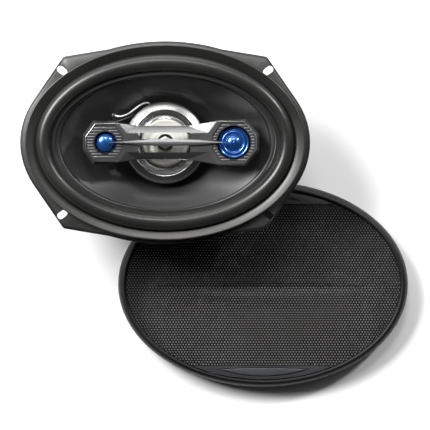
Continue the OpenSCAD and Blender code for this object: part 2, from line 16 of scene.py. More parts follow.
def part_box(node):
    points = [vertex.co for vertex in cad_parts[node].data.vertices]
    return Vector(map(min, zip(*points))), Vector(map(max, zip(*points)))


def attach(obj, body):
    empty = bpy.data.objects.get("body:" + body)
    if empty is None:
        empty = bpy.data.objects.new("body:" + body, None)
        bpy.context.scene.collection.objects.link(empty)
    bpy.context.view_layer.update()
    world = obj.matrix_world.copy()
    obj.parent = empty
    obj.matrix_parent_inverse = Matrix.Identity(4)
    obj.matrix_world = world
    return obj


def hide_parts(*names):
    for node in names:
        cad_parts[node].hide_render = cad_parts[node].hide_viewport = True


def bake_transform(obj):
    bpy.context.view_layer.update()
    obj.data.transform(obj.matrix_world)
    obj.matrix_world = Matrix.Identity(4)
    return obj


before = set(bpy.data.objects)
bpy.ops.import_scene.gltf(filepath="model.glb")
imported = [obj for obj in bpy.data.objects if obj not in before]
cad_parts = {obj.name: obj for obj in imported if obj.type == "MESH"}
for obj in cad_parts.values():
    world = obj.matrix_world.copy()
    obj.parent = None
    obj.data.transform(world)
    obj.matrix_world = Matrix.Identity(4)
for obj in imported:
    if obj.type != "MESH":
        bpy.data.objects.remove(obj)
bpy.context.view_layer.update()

# %% [markdown]
# Every size below is in millimetres, because that is how a speaker is drawn. A piece
# is scaled to metres once, when its mesh is finished. Where a size belongs to a CAD
# node, it is read from that node's box rather than typed again.

# %% Units and sizes
MM = 0.001
TAU = 2 * math.pi


class Extent:
    """The box of a CAD node, in millimetres."""

    def __init__(self, node):
        low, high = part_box(node)
        self.x0, self.y0, self.z0 = (c / MM for c in low)
        self.x1, self.y1, self.z1 = (c / MM for c in high)
        self.cx, self.cy = (self.x0 + self.x1) / 2, (self.y0 + self.y1) / 2
        self.a, self.b = (self.x1 - self.x0) / 2, (self.y1 - self.y0) / 2


flange = Extent("basket")
rim = Extent("trim_ring")
cone = Extent("cone")
grille = Extent("grille_frame")
rear = Extent("magnet_boot")
print(f"flange {2 * flange.a:.1f} by {2 * flange.b:.1f} mm")

# %% [markdown]
# The camera looks almost straight down on both pieces, so the floor is the backdrop.
# It stands far off behind a long lens, which keeps the two ovals free of perspective.

# %% Camera
view = bpy.data.cameras.new("camera")
view.lens, view.sensor_width = 255, 36
view.clip_end = 20
camera = bpy.data.objects.new("camera", view)
bpy.context.scene.collection.objects.link(camera)
aim = Vector((40.7, -59.2, 0.0)) * MM
away = Vector((-0.03, 0.05, 2.49))
camera.location = aim + away
camera.rotation_euler = (-math.atan2(away.y, away.z), math.atan2(away.x, away.z), 0)
bpy.context.scene.camera = camera

# %% [markdown]
# Shader nodes are set and joined in many places below. A value is either a number, which
# is written into the socket, or another socket, which is linked to it.


# %% Helpers for shader nodes
def rgba(colour):
    """A colour with its alpha; one number stands for a neutral tone."""
    return (*((colour,) * 3 if isinstance(colour, float) else colour), 1)


def set_inputs(node, **values):
    """Set a node's inputs by name, with _ for each space."""
    for label, value in values.items():
        node.inputs[label.replace("_", " ")].default_value = value


def feed(tree, value, socket):
    """Write a number into socket, or link another socket to it."""
    if isinstance(value, (int, float)):
        socket.default_value = value
    else:
        tree.links.new(value, socket)


def math_node(tree, operation, *values):
    """A Math node fed with sockets or numbers; returns its output."""
    node = tree.nodes.new("ShaderNodeMath")
    node.operation = operation
    for value, socket in zip(values, node.inputs):
        feed(tree, value, socket)
    return node.outputs[0]


# %% [markdown]
# The floor is a plain pale sheet. The key light is a large soft panel beyond the upper
# left corner, which puts a bright line on the upper left of every roll and a sheen on the
# lower right of the cone. A smaller panel beyond the upper right corner lights the facets
# that the key leaves dark, one nearly overhead drops short shadows under the bridge, and
# a low wide one stands on the far horizon, where the bar's upper slope reflects it.

# %% Floor and lights
FLOOR_HALF, FLOOR_GAP = 4.0, 0.0002  # in metres, like the camera and the lights

floor_white = bpy.data.materials.new("floor_white")
floor_white.use_nodes = True
set_inputs(floor_white.node_tree.nodes["Principled BSDF"], Base_Color=rgba(0.93), Roughness=0.9)
floor_mesh = bpy.data.meshes.new("floor")
bm = bmesh.new()
bmesh.ops.create_grid(bm, x_segments=1, y_segments=1, size=FLOOR_HALF)
bmesh.ops.translate(bm, verts=bm.verts, vec=(0, 0, rear.z0 * MM - FLOOR_GAP))
bm.to_mesh(floor_mesh)
bm.free()
floor = bpy.data.objects.new("floor", floor_mesh)
bpy.context.scene.collection.objects.link(floor)
floor_mesh.materials.append(floor_white)


def panel(name, place, target, size, power):
    """A rectangular softbox at place, facing target."""
    lamp = bpy.data.lights.new(name, "AREA")
    lamp.shape, lamp.size, lamp.size_y = "RECTANGLE", size[0], size[1]
    lamp.energy = power
    stand = bpy.data.objects.new(name, lamp)
    stand.location = place
    aim_at = Vector(target) - Vector(place)
    stand.rotation_euler = aim_at.to_track_quat("-Z", "Y").to_euler()
    bpy.context.scene.collection.objects.link(stand)


panel("key", (-1.10, 0.80, 1.34), (0, 0, 0), (0.95, 0.55), 64)
panel("second", (1.02, 0.83, 0.92), (-0.03, 0.01, 0), (0.17, 0.17), 12)
panel("top", (0.0, 1.30, 1.90), (0.0, 0.0, 0), (0.6, 0.4), 13)
panel("horizon", (-0.15, 1.6, 0.42), (0.0, 0.0, 0.03), (1.2, 0.60), 8.5)

# %% [markdown]
# The studio round them is bright on the horizon beyond the object and dim on the near
# side. Satin metal is mostly its surroundings, so this is what makes the upper slopes of
# the silver ring and the bridge light and their lower slopes dark. Where the camera sees
# past the floor it finds a pale backdrop instead, which lights nothing.

# %% Studio
world = bpy.data.worlds.new("studio")
bpy.context.scene.world = world
world.use_nodes = True
sky = world.node_tree
heading = sky.nodes.new("ShaderNodeSeparateXYZ")
sky.links.new(sky.nodes.new("ShaderNodeTexCoord").outputs["Generated"], heading.inputs[0])
glow = sky.nodes.new("ShaderNodeMapRange")
glow.interpolation_type = "SMOOTHSTEP"
set_inputs(glow, From_Min=-0.05, From_Max=1.0, To_Min=0.02, To_Max=0.75)
sky.links.new(heading.outputs["Y"], glow.inputs["Value"])
camera_ray = sky.nodes.new("ShaderNodeLightPath").outputs["Is Camera Ray"]
backdrop = math_node(sky, "MULTIPLY", camera_ray, 0.9)
background = sky.nodes["Background"]
set_inputs(background, Color=rgba(1.0))
feed(sky, math_node(sky, "MAXIMUM", glow.outputs["Result"], backdrop),
     background.inputs["Strength"])
bpy.context.scene.view_settings.view_transform = "Standard"

# %% [markdown]
# ## Shared surface effects
#
# A moulded part, a painted part and a rubber part differ in colour, but they share the
# same few effects: a fine grain, a drift of colour over a hand's breadth, turning marks,
# and cloth. Each effect is one shader group with named inputs, used by many materials.


# %% A helper for shader groups
def effect(name, inputs, outputs):
    """A new node group; returns it with its input and output nodes."""
    group = bpy.data.node_groups.new(name, "ShaderNodeTree")
    for label, value in inputs.items():
        group.interface.new_socket(
            label, in_out="INPUT", socket_type="NodeSocketFloat").default_value = value
    for label in outputs:
        group.interface.new_socket(label, in_out="OUTPUT", socket_type="NodeSocketFloat")
    return group, group.nodes.new("NodeGroupInput"), group.nodes.new("NodeGroupOutput")


def noise_node(tree, vector, scale, detail=3.0, rough=0.5):
    """A Noise texture on vector; scale may be a socket or a number."""
    node = tree.nodes.new("ShaderNodeTexNoise")
    set_inputs(node, Detail=detail, Roughness=rough)
    feed(tree, vector, node.inputs["Vector"])
    feed(tree, scale, node.inputs["Scale"])
    return node.outputs["Fac"]


def own_place(tree):
    """The point being shaded, in the piece's own space."""
    return tree.nodes.new("ShaderNodeTexCoord").outputs["Object"]


# %% [markdown]
# Moulded grain is a tiny leathery relief. Two noises of different size are multiplied,
# so that the pits have unequal depth, and a slow noise gives the drift of tone.

# %% Grain
grain, grain_in, grain_out = effect("grain", {"Cells per metre": 1500.0}, ["Height", "Drift"])
place = own_place(grain)
fine = noise_node(grain, place, grain_in.outputs[0], 2.0, 0.6)
half_scale = math_node(grain, "MULTIPLY", grain_in.outputs[0], 0.31)
coarse = noise_node(grain, place, half_scale, 2.0, 0.5)
grain.links.new(math_node(grain, "MULTIPLY", fine, coarse), grain_out.inputs["Height"])
grain.links.new(noise_node(grain, place, 22.0, 2.0), grain_out.inputs["Drift"])

# %% [markdown]
# Turning marks are rings round an axis. The distance from the axis is stretched by a
# sine, and a noise that depends on the distance alone makes every ring a little
# different. The axis is moved along X for the tweeters, so its place is an input.

# %% Turning marks
turning, turn_in, turn_out = effect(
    "turning", {"Axis X": 0.0, "Axis Y": 0.0, "Rings per metre": 2500.0}, ["Rings", "Uneven"])
split = turning.nodes.new("ShaderNodeSeparateXYZ")
turning.links.new(own_place(turning), split.inputs[0])
dx = math_node(turning, "SUBTRACT", split.outputs["X"], turn_in.outputs["Axis X"])
dy = math_node(turning, "SUBTRACT", split.outputs["Y"], turn_in.outputs["Axis Y"])
squares = [math_node(turning, "MULTIPLY", d, d) for d in (dx, dy)]
distance = math_node(turning, "SQRT", math_node(turning, "ADD", *squares))
phase = math_node(turning, "MULTIPLY", distance, turn_in.outputs["Rings per metre"])
along = turning.nodes.new("ShaderNodeCombineXYZ")
turning.links.new(phase, along.inputs["X"])
turning.links.new(math_node(turning, "SINE", math_node(turning, "MULTIPLY", phase, TAU)),
                  turn_out.inputs["Rings"])
turning.links.new(noise_node(turning, along.outputs[0], 0.35, 3.0), turn_out.inputs["Uneven"])

# %% [markdown]
# Cloth, for the spider and the braided lead, is two sets of threads that cross. Each
# set is a sine along one axis, and the higher of the two is the thread on top.

# %% Weave
weave, weave_in, weave_out = effect("weave", {"Threads per metre": 1400.0}, ["Height", "Fuzz"])
place = own_place(weave)
axes = weave.nodes.new("ShaderNodeSeparateXYZ")
weave.links.new(place, axes.inputs[0])
threads = []
for axis in "XY":
    turns = math_node(weave, "MULTIPLY", axes.outputs[axis], weave_in.outputs[0])
    wave = math_node(weave, "SINE", math_node(weave, "MULTIPLY", turns, TAU))
    threads.append(math_node(weave, "ABSOLUTE", wave))
weave.links.new(math_node(weave, "MAXIMUM", *threads), weave_out.inputs["Height"])
weave.links.new(noise_node(weave, place, 900.0, 3.0), weave_out.inputs["Fuzz"])

# %% [markdown]
# ## Finishes
#
# A finish is one Principled shader. Its colour drifts between two close tones, its
# roughness follows the same drift, and one of the effects above drives a Bump node.


# %% A helper for finishes
class Finish:
    """A Principled material that is built up one effect at a time."""

    def __init__(self, name, colour, roughness, metallic=0.0, **sockets):
        self.material = bpy.data.materials.new(name)
        self.material.use_nodes = True
        self.tree = self.material.node_tree
        self.shader = self.tree.nodes["Principled BSDF"]
        self.colour, self.roughness = colour, roughness
        set_inputs(self.shader, Base_Color=rgba(colour), Roughness=roughness, Metallic=metallic,
                   **sockets)

    def place_effect(self, group, **values):
        node = self.tree.nodes.new("ShaderNodeGroup")
        node.node_tree = group
        set_inputs(node, **values)
        return node.outputs

    def drift(self, mask, other, rough_spread=0.08):
        """Let colour and roughness run with mask: to the other colour, and by a spread."""
        ramp = self.tree.nodes.new("ShaderNodeValToRGB")
        for stop, place, colour in zip(ramp.color_ramp.elements, (0.35, 0.65),
                                       (self.colour, other)):
            stop.position, stop.color = place, rgba(colour)
        self.tree.links.new(mask, ramp.inputs["Fac"])
        self.tree.links.new(ramp.outputs["Color"], self.shader.inputs["Base Color"])
        spread = self.tree.nodes.new("ShaderNodeMapRange")
        set_inputs(spread, To_Min=max(self.roughness - rough_spread, 0.02),
                   To_Max=min(self.roughness + rough_spread, 1.0))
        self.tree.links.new(mask, spread.inputs["Value"])
        self.tree.links.new(spread.outputs["Result"], self.shader.inputs["Roughness"])
        return self

    def relief(self, height, depth_mm, strength=0.6):
        """Raise the surface by up to depth_mm where height is high."""
        bump = self.tree.nodes.new("ShaderNodeBump")
        set_inputs(bump, Strength=strength, Distance=depth_mm * MM)
        self.tree.links.new(height, bump.inputs["Height"])
        self.tree.links.new(bump.outputs["Normal"], self.shader.inputs["Normal"])
        return self


def grained(name, colour, other, roughness, metallic=0.0, cells=1500.0, depth=0.05, spread=0.08,
            **sockets):
    """A finish with moulded or sprayed grain."""
    finish = Finish(name, colour, roughness, metallic, **sockets)
    out = finish.place_effect(grain, Cells_per_metre=cells)
    return finish.drift(out["Drift"], other, spread).relief(out["Height"], depth).material


def turned(name, colour, other, roughness, axis=(0.0, 0.0), rings=2500.0, depth=0.004,
           metallic=1.0, spread=0.06, **sockets):
    """A finish with turning marks round axis, which is given in millimetres."""
    finish = Finish(name, colour, roughness, metallic, **sockets)
    out = finish.place_effect(turning, Axis_X=axis[0] * MM, Axis_Y=axis[1] * MM,
                              Rings_per_metre=rings)
    return finish.drift(out["Uneven"], other, spread).relief(out["Rings"], depth).material


def woven(name, colour, other, roughness, threads=1400.0, depth=0.12, **sockets):
    """A finish of crossing threads."""
    finish = Finish(name, colour, roughness, **sockets)
    out = finish.place_effect(weave, Threads_per_metre=threads)
    return finish.drift(out["Fuzz"], other).relief(out["Height"], depth).material


# %% The finishes of this speaker
basket_paint = grained("basket_paint", 0.01, (0.016, 0.016, 0.015), 0.40, 0.0, 900, 0.03)
# This near-black finish is painted shade: the rim it gives round the flange's paler face stands for
# the shade on the rolled edge and under the trim ring.
edge_shade_black = grained("edge_shade_black", 0.004, 0.007, 0.5, 0.0, 900, 0.03)
flange_paint = grained("flange_paint", (0.05, 0.049, 0.047), (0.066, 0.065, 0.063), 0.38, 0.5,
                       1600, 0.02)
trim_grey = grained("trim_grey", (0.05, 0.049, 0.047), (0.063, 0.062, 0.06), 0.36, 0.8, 1900, 0.03)
roll_rubber = grained("roll_rubber", (0.012, 0.012, 0.0115), (0.016, 0.016, 0.015), 0.33, 0.0,
                      2600, 0.03)
cone_black = turned("cone_black", (0.003, 0.003, 0.0028), (0.005, 0.005, 0.0047), 0.42, rings=700,
                    depth=0.004, metallic=0.0, Coat_Weight=0.7, Coat_Roughness=0.42)
satin_silver = turned("satin_silver", (0.64, 0.64, 0.63), (0.72, 0.72, 0.71), 0.21, rings=1300,
                      depth=0.0015)
nut_chrome = turned("nut_chrome", (0.74, 0.74, 0.73), (0.82, 0.82, 0.81), 0.30, rings=900,
                    depth=0.002, metallic=0.7)
mirror_silver = turned("mirror_silver", (0.8, 0.8, 0.78), (0.86, 0.86, 0.85), 0.10, rings=600,
                       depth=0.002)
metallised = turned("metallised", (0.86, 0.84, 0.74), (0.94, 0.93, 0.87), 0.24, rings=700,
                    depth=0.002, metallic=0.4)
bridge_grey = grained("bridge_grey", (0.16, 0.16, 0.162), (0.19, 0.19, 0.193), 0.25, 0.8, 2400,
                      0.015)
# The next two finishes are painted light and shade on one grey: the dark one is painted shade in
# the grooves between ribs, the light one a painted highlight on the ribs and on the long rib.
plate_shade_grey = grained("plate_shade_grey", (0.03, 0.031, 0.033), (0.045, 0.046, 0.049), 0.45, 0.3, 2400,
                     0.02)
rib_highlight_grey = grained("rib_highlight_grey", (0.2, 0.2, 0.205), (0.25, 0.25, 0.256), 0.32, 0.6, 2400, 0.015)
black_plastic = grained("black_plastic", 0.01, 0.016, 0.45, 0.0, 1800, 0.04)
grille_black = grained("grille_black", (0.003, 0.0029, 0.0033), (0.005, 0.0049, 0.0055), 0.50, 0.0,
                       2200, 0.04, Specular_IOR_Level=0.3)
panel_black = grained("panel_black", (0.028, 0.0275, 0.03), (0.04, 0.039, 0.0425), 0.38, 0.1, 2200,
                      0.03)
mesh_paint = grained("mesh_paint", (0.003, 0.0029, 0.0033), (0.005, 0.0048, 0.0054), 0.46, 0.0,
                     2600, 0.02, Specular_IOR_Level=0.4)
badge_grey = grained("badge_grey", (0.055, 0.057, 0.062), (0.072, 0.074, 0.08), 0.28, 0.3, 1500,
                     0.01)
foam_black = grained("foam_black", 0.01, 0.022, 0.92, 0.0, 1100, 0.35)
boot_rubber = grained("boot_rubber", 0.012, (0.02, 0.02, 0.019), 0.55, 0.0, 1300, 0.06)
ferrite_grey = grained("ferrite_grey", (0.045, 0.046, 0.05), (0.075, 0.076, 0.08), 0.62, 0.1, 800,
                       0.10)
zinc = turned("zinc", (0.5, 0.51, 0.52), (0.62, 0.62, 0.6), 0.30, rings=1800, depth=0.006)
brass_tin = grained("brass_tin", (0.62, 0.5, 0.26), (0.72, 0.62, 0.38), 0.26, 1.0, 1400, 0.01)
phenolic = grained("phenolic", (0.155, 0.062, 0.025), (0.205, 0.088, 0.038), 0.50, 0.0, 700, 0.03)
copper_wire = turned("copper_wire", (0.52, 0.2, 0.08), (0.62, 0.27, 0.12), 0.28, rings=3000,
                     depth=0.02)
amber_film = turned("amber_film", (0.34, 0.2, 0.06), (0.42, 0.27, 0.1), 0.30, metallic=0.0)
cement = grained("cement", 0.008, 0.014, 0.22, 0.0, 500, 0.20)
spider_cloth = woven("spider_cloth", (0.5, 0.34, 0.07), (0.6, 0.43, 0.12), 0.85)
silver_braid = woven("silver_braid", 0.6, (0.74, 0.74, 0.73), 0.30, 2300, 0.18, metallic=0.85)
black_sleeve = woven("black_sleeve", 0.01, 0.016, 0.50, 2300, 0.08)
capacitor_blue = grained("capacitor_blue", (0.02, 0.05, 0.24), (0.03, 0.07, 0.3), 0.25, 0.0, 300,
                         0.01)

tweeter, super_tweeter = Extent("tweeter_dome"), Extent("super_tweeter_dome")


def dome_finish(name, extent):
    """Blue anodised film under a clear gloss, with fine rings about its own axis."""
    return turned(name, (0.016, 0.084, 0.31), (0.024, 0.112, 0.39), 0.26, (extent.cx, extent.cy),
                  1300, 0.006, metallic=0.65, Coat_Weight=1.0, Coat_Roughness=0.04)


dome_blue = dome_finish("dome_blue", tweeter)
small_dome_blue = dome_finish("small_dome_blue", super_tweeter)
print(len(bpy.data.materials), "materials")

# %% [markdown]
# ## Tools for the meshes
#
# Three helpers cover nearly every piece. `oval_skin` bridges a stack of ovals, for what follows the
# oval flange. `spun` turns a profile about an upright axis, for what is round. `finish_piece` puts
# the mesh in the scene, hands it to its body, and hides the CAD nodes it stands for.


# %% Mesh helpers
def oval_loop(bm, a, b, z, sides):
    """The edges of a new oval of half length a and half width b, at height z."""
    shape = Matrix.Translation((0, 0, z)) @ Matrix.Diagonal((a, b, 1, 1))
    made = bmesh.ops.create_circle(bm, segments=sides, radius=1.0, matrix=shape)
    return list({edge for vert in made["verts"] for edge in vert.link_edges})


def bridged(bm, loops, capped=False):
    """Bridge each loop of edges to the next, and close the two ends if capped."""
    for one, other in zip(loops, loops[1:]):
        bmesh.ops.bridge_loops(bm, edges=one + other)
    for end in (loops[0], loops[-1]) if capped else ():
        bmesh.ops.contextual_create(bm, geom=end)
    bmesh.ops.recalc_face_normals(bm, faces=bm.faces)
    return bm


def oval_skin(rows, sides=144):
    """A closed skin of ovals, each a row of [half length, half width, height]."""
    bm = bmesh.new()
    loops = [oval_loop(bm, *row, sides) for row in rows]
    return bridged(bm, loops + loops[:1])


def walled(rows, thick):
    """The rows, and before them the same rows backward, lower by thick."""
    return [(*row[:-1], row[-1] - thick) for row in reversed(rows)] + rows


def solid_skin(bm, thick, upward):
    """Turn an open skin to face up or down, then give it its thickness."""
    bmesh.ops.recalc_face_normals(bm, faces=bm.faces)
    if (sum(face.normal.z * face.calc_area() for face in bm.faces) > 0) != upward:
        bmesh.ops.reverse_faces(bm, faces=bm.faces)
    bmesh.ops.solidify(bm, geom=bm.faces, thickness=thick)
    return bm


def add_cube(bm, centre, size):
    """A box in bm, with its middle at centre."""
    shape = Matrix.Translation(centre) @ Matrix.Diagonal((*size, 1))
    bmesh.ops.create_cube(bm, size=1.0, matrix=shape)


def thicken(bm, thick):
    """Extrude every face of bm upward by thick."""
    grown = bmesh.ops.extrude_face_region(bm, geom=list(bm.faces))["geom"]
    lifted = [part for part in grown if isinstance(part, bmesh.types.BMVert)]
    bmesh.ops.translate(bm, verts=lifted, vec=(0, 0, thick))
    bmesh.ops.recalc_face_normals(bm, faces=bm.faces)
    return bm


def spun(profile, centre=(0.0, 0.0), sides=96, closed=True):
    """Turn a profile of [radius, height] about an upright axis at centre."""
    bm = bmesh.new()
    verts = [bm.verts.new((centre[0] + r, centre[1], z)) for r, z in profile]
    pairs = list(zip(verts, verts[1:])) + ([(verts[-1], verts[0])] if closed else [])
    edges = [bm.edges.new(pair) for pair in pairs]
    bmesh.ops.spin(bm, geom=verts + edges, cent=(*centre, 0), axis=(0, 0, 1), angle=TAU,
                   steps=sides, use_merge=True)
    bmesh.ops.remove_doubles(bm, verts=bm.verts, dist=0.002)
    bmesh.ops.recalc_face_normals(bm, faces=bm.faces)
    return bm


def soften(bm, width, angle=32.0, segments=2):
    """Round every edge that is sharper than angle."""
    limit = math.radians(angle)
    sharp = [e for e in bm.edges if len(e.link_faces) == 2 and e.calc_face_angle(0.0) > limit]
    bmesh.ops.bevel(bm, geom=sharp, offset=width, offset_type="OFFSET", affect="EDGES",
                    segments=segments, profile=0.5, material=-1, clamp_overlap=True)
    return bm


def shift(bm, *step):
    """Move everything in bm by step."""
    bmesh.ops.translate(bm, verts=bm.verts, vec=step)
    return bm


def to_mesh(bm, name):
    """A mesh in metres from bm, which is in millimetres and isn't needed afterwards."""
    bmesh.ops.scale(bm, vec=(MM, MM, MM), verts=bm.verts)
    mesh = bpy.data.meshes.new(name)
    bm.to_mesh(mesh)
    bm.free()
    return mesh


def to_scene(name, mesh, *materials):
    """An object of the scene with that mesh."""
    mesh.materials.clear()
    for material in materials:
        mesh.materials.append(material)
    piece = bpy.data.objects.new(name, mesh)
    bpy.context.scene.collection.objects.link(piece)
    return piece


def finish_piece(name, bm, material, body, *nodes, slot=None, angle=38.0):
    """Make the mesh an object of the scene, in metres, moving with body."""
    limit = math.radians(angle)
    for face in bm.faces:
        face.smooth = True
    for edge in bm.edges:
        edge.smooth = len(edge.link_faces) != 2 or edge.calc_face_angle(0.0) < limit
    piece = to_scene(name, to_mesh(bm, name), material)
    if body:
        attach(piece, body)
    if nodes:
        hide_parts(*nodes)
    print(f"{name}: {len(piece.data.polygons)} faces")
    return piece


def mix(p, q, t):
    return p + (q - p) * t


def arc(centre, radii, start, stop, steps):
    """Points on an oval round centre, from start to stop degrees."""
    turns = [math.radians(mix(start, stop, k / steps)) for k in range(steps + 1)]
    return [(centre[0] + radii[0] * math.cos(w), centre[1] + radii[1] * math.sin(w)) for w in turns]


# %% [markdown]
# ## The basket
#
# The real basket is one steel pressing: a flat flange with four ears, and a bowl with
# eight windows that ends in a round seat. The flange is drawn as a flat outline with its
# holes, filled, and given a thickness. The ears are straight-sided, so only the oval
# between them is an arc.

# %% Flange
EAR = (82.6, 70.0)               # tip of an ear
EAR_LOW, EAR_HIGH = 34.6, 46.0   # where an ear's sides leave the oval, in y and in x
OVAL_B = 82.8                    # half width of the flange's oval
MOUTH = (104.0, 70.6)            # half axes of the opening that the bowl hangs from
SCREW = (85.5, 59.8)             # centre of a screw hole
SLOT_END = (82.6, 57.6)          # centre of a slot's inner end
SCREW_R, SLOT_END_R = 2.8, 2.8 * 0.94
STEEL, FACE = 1.4, 0.65          # thickness of the pressing, and of its paler face
DROOP = 11.0                     # how fast the ears fall beyond the trim ring


def flange_outline(inset=0.0):
    """A quarter of the outline is an arc, the ear's blunt tip, and another arc."""
    a, b = flange.a - inset, OVAL_B - inset
    tip_x, tip_y = EAR[0] - 0.8 * inset, EAR[1] - inset
    low, high = math.asin((EAR_LOW - 0.3 * inset) / b), math.acos(EAR_HIGH / a)
    quarter = arc((0, 0), (a, b), 0, math.degrees(low), 8)
    quarter += [(tip_x + 1.6, tip_y - 1.2), (tip_x + 0.6, tip_y), (tip_x - 1.6, tip_y + 0.6)]
    quarter += arc((0, 0), (a, b), math.degrees(high), 90, 12)
    half = quarter + [(-x, y) for x, y in reversed(quarter[:-1])]
    return half + [(x, -y) for x, y in reversed(half[1:-1])]


def slot_outline(sx, sy):
    """An obround hole that leans toward the middle of the speaker."""
    lean = math.degrees(math.atan2(SCREW[1] - SLOT_END[1], SCREW[0] - SLOT_END[0]))
    points = arc(SCREW, (SCREW_R, SCREW_R), lean - 90, lean + 90, 10)
    points += arc(SLOT_END, (SLOT_END_R, SLOT_END_R), lean + 90, lean + 270, 10)
    return [(sx * x, sy * y) for x, y in points]


def loop_of(bm, points, z):
    """The edges of a new outline at height z."""
    verts = [bm.verts.new((x, y, z)) for x, y in points]
    return [bm.edges.new((verts[i - 1], verts[i])) for i in range(len(verts))]


def plate(outlines, z, thick):
    """A flat plate between the first outline and the others, which are its holes."""
    bm = bmesh.new()
    edges = [edge for points in outlines for edge in loop_of(bm, points, z)]
    bmesh.ops.triangle_fill(bm, use_beauty=True, use_dissolve=False, edges=edges)
    return thicken(bm, thick)


mouth = [(MOUTH[0] * math.cos(TAU * k / 120), MOUTH[1] * math.sin(TAU * k / 120))
         for k in range(120)]
slots = [slot_outline(sx, sy) for sx in (-1, 1) for sy in (-1, 1)]


def droop(bm):
    """Lower what lies beyond the trim ring, so that the ears lean back a little."""
    for vert in bm.verts:
        beyond = math.hypot(vert.co.x / rim.a, vert.co.y / rim.b) - 1
        vert.co.z -= max(beyond, 0.0) * DROOP
    return bm


# The pressing is near black and its paler face stops 1.7 mm inside the outline; the black rim left
# showing is painted shade for the rolled edge and for the shade under the trim ring.
under_bm = droop(soften(plate([flange_outline(), mouth, *slots], 0.0, STEEL - 0.6), 0.3, 50.0))
finish_piece("flange_plate", under_bm, edge_shade_black, "frame", "basket", slot="basket")
face_bm = droop(soften(plate([flange_outline(1.7), mouth], STEEL - FACE, FACE), 0.25, 50.0))
flange_face = finish_piece("flange_face", face_bm, flange_paint, "frame", "basket", slot="basket")

# %% [markdown]
# The slots come so close to the edge that they run out of the paler face, so they are
# cut out of it with the exact boolean solver.


# %% Cut the slots
def plain_mesh(thing):
    """The mesh of an object once its modifiers or its curve are worked out."""
    bpy.context.view_layer.update()
    return bpy.data.meshes.new_from_object(
        thing.evaluated_get(bpy.context.evaluated_depsgraph_get()))


def cut_with(piece, cutters):
    """Take the cutters' shapes out of piece, and leave a plain mesh."""
    for bm in cutters:
        tool = to_scene("cutter", to_mesh(bm, "cutter"))
        cut = piece.modifiers.new("cut", "BOOLEAN")
        cut.operation, cut.object, cut.solver = "DIFFERENCE", tool, "EXACT"
        result = plain_mesh(piece)
        piece.modifiers.clear()
        piece.data = result
        bpy.data.objects.remove(tool)
    return piece


cut_with(flange_face, [plate([points], -4.0, 8.0) for points in slots])

# %% [markdown]
# The bowl is a stack of ovals that turn from the flange's oval into the round seat. The
# windows are faces that are simply left out between two of the ovals. What is left gets
# its thickness from Solidify, so every spoke has a real edge.

# %% Bowl
SPOKE, WINDOW = 4, 14            # faces across a spoke and across a window
BOWL = [(105.4, 71.8, 0.0), (104.2, 70.8, -3.0), (103.0, 69.8, -7.0), (97.5, 67.6, -11.4),
        (91.0, 64.6, -16.6), (80.0, 60.4, -24.6), (69.0, 55.9, -31.6), (62.0, 53.0, -36.4),
        (57.0, 51.0, -38.9), (52.0, 49.2, -40.3), (48.0, 47.0, -40.8), (42.0, 41.6, -40.8),
        (38.0, 38.0, -41.2), (36.8, 36.8, -42.4), (36.2, 36.2, -47.4), (35.2, 35.2, -48.5),
        (22.6, 22.6, -48.6)]
OPEN_ROWS = range(3, 7)
TURN, FIRST, LAST = 45, 8.5, 36.5  # degrees from spoke to spoke; where a window starts and ends
bowl_bm = bmesh.new()
ring_edges = [oval_loop(bowl_bm, *row, 8 * (SPOKE + WINDOW)) for row in BOWL]
windows = []
for row, (one, other) in enumerate(zip(ring_edges, ring_edges[1:])):
    faces = bmesh.ops.bridge_loops(bowl_bm, edges=one + other)["faces"]
    if row in OPEN_ROWS:
        a, b = (BOWL[row][0] + BOWL[row + 1][0]) / 2, (BOWL[row][1] + BOWL[row + 1][1]) / 2
        for face in faces:
            middle = face.calc_center_median()
            if FIRST < math.degrees(math.atan2(middle.y / b, middle.x / a)) % TURN < LAST:
                windows.append(face)
bmesh.ops.delete(bowl_bm, geom=windows, context="FACES")
solid_skin(bowl_bm, -STEEL, upward=False)
bmesh.ops.recalc_face_normals(bowl_bm, faces=bowl_bm.faces)
finish_piece("basket_bowl", soften(bowl_bm, 0.3, 60.0), basket_paint, "frame", "basket",
             slot="basket")

# %% [markdown]
# The terminals sit on a small bracket that is pressed out of one spoke. It is a plate
# with a window, stood upright, so the same `plate` helper draws it before it is turned.

# %% Terminal bracket
board = Extent("terminal_board")
outer_box = [(-15, 0), (15, 0), (15, 20), (-15, 20)]
inner_box = [(-11, 3), (11, 3), (11, 16), (-11, 16)]
bracket = soften(plate([outer_box, inner_box], 0.0, STEEL), 0.3, 50.0)
bmesh.ops.rotate(bracket, verts=bracket.verts, cent=(0, 0, 0),
                 matrix=Matrix.Rotation(math.pi / 2, 3, "X"))
shift(bracket, 0, board.y1 + STEEL, board.z0 - 1)
finish_piece("terminal_bracket", bracket, basket_paint, "frame", "basket", slot="basket")

# %% [markdown]
# ## Trim ring and surround
#
# The trim ring is a moulded band glued on the flange. Its profile has a soft outer
# shoulder and falls away toward the rubber. The surround is half a tube of rubber, with
# one flat land glued under the ring and one glued on the cone.

# %% Trim ring
top = rim.z1
ring_rows = [(rim.a, rim.b, STEEL)]
ring_rows += [(rim.a - inset[0], rim.b - inset[-1], top - h)
              for h, *inset in ((0.7, 0), (0.3, 0.12), (0.05, 0.45, 0.4), (0, 0.8, 0.7),
                                (0.12, 1.3, 1.2))]
ring_rows += [(110.0, 76.0, top - 0.95), (107.6, 74.0, top - 1.75), (106.8, 73.3, top - 2.1),
              (106.4, 72.9, top - 2.3), (106.3, 72.8, top - 2.4), (106.3, 72.8, STEEL + 2.1),
              (109.0, 75.6, STEEL + 2.1), (109.0, 75.6, STEEL)]
finish_piece("trim_ring_moulding", oval_skin(ring_rows, 180), trim_grey, "frame", "trim_ring",
             slot="trim")

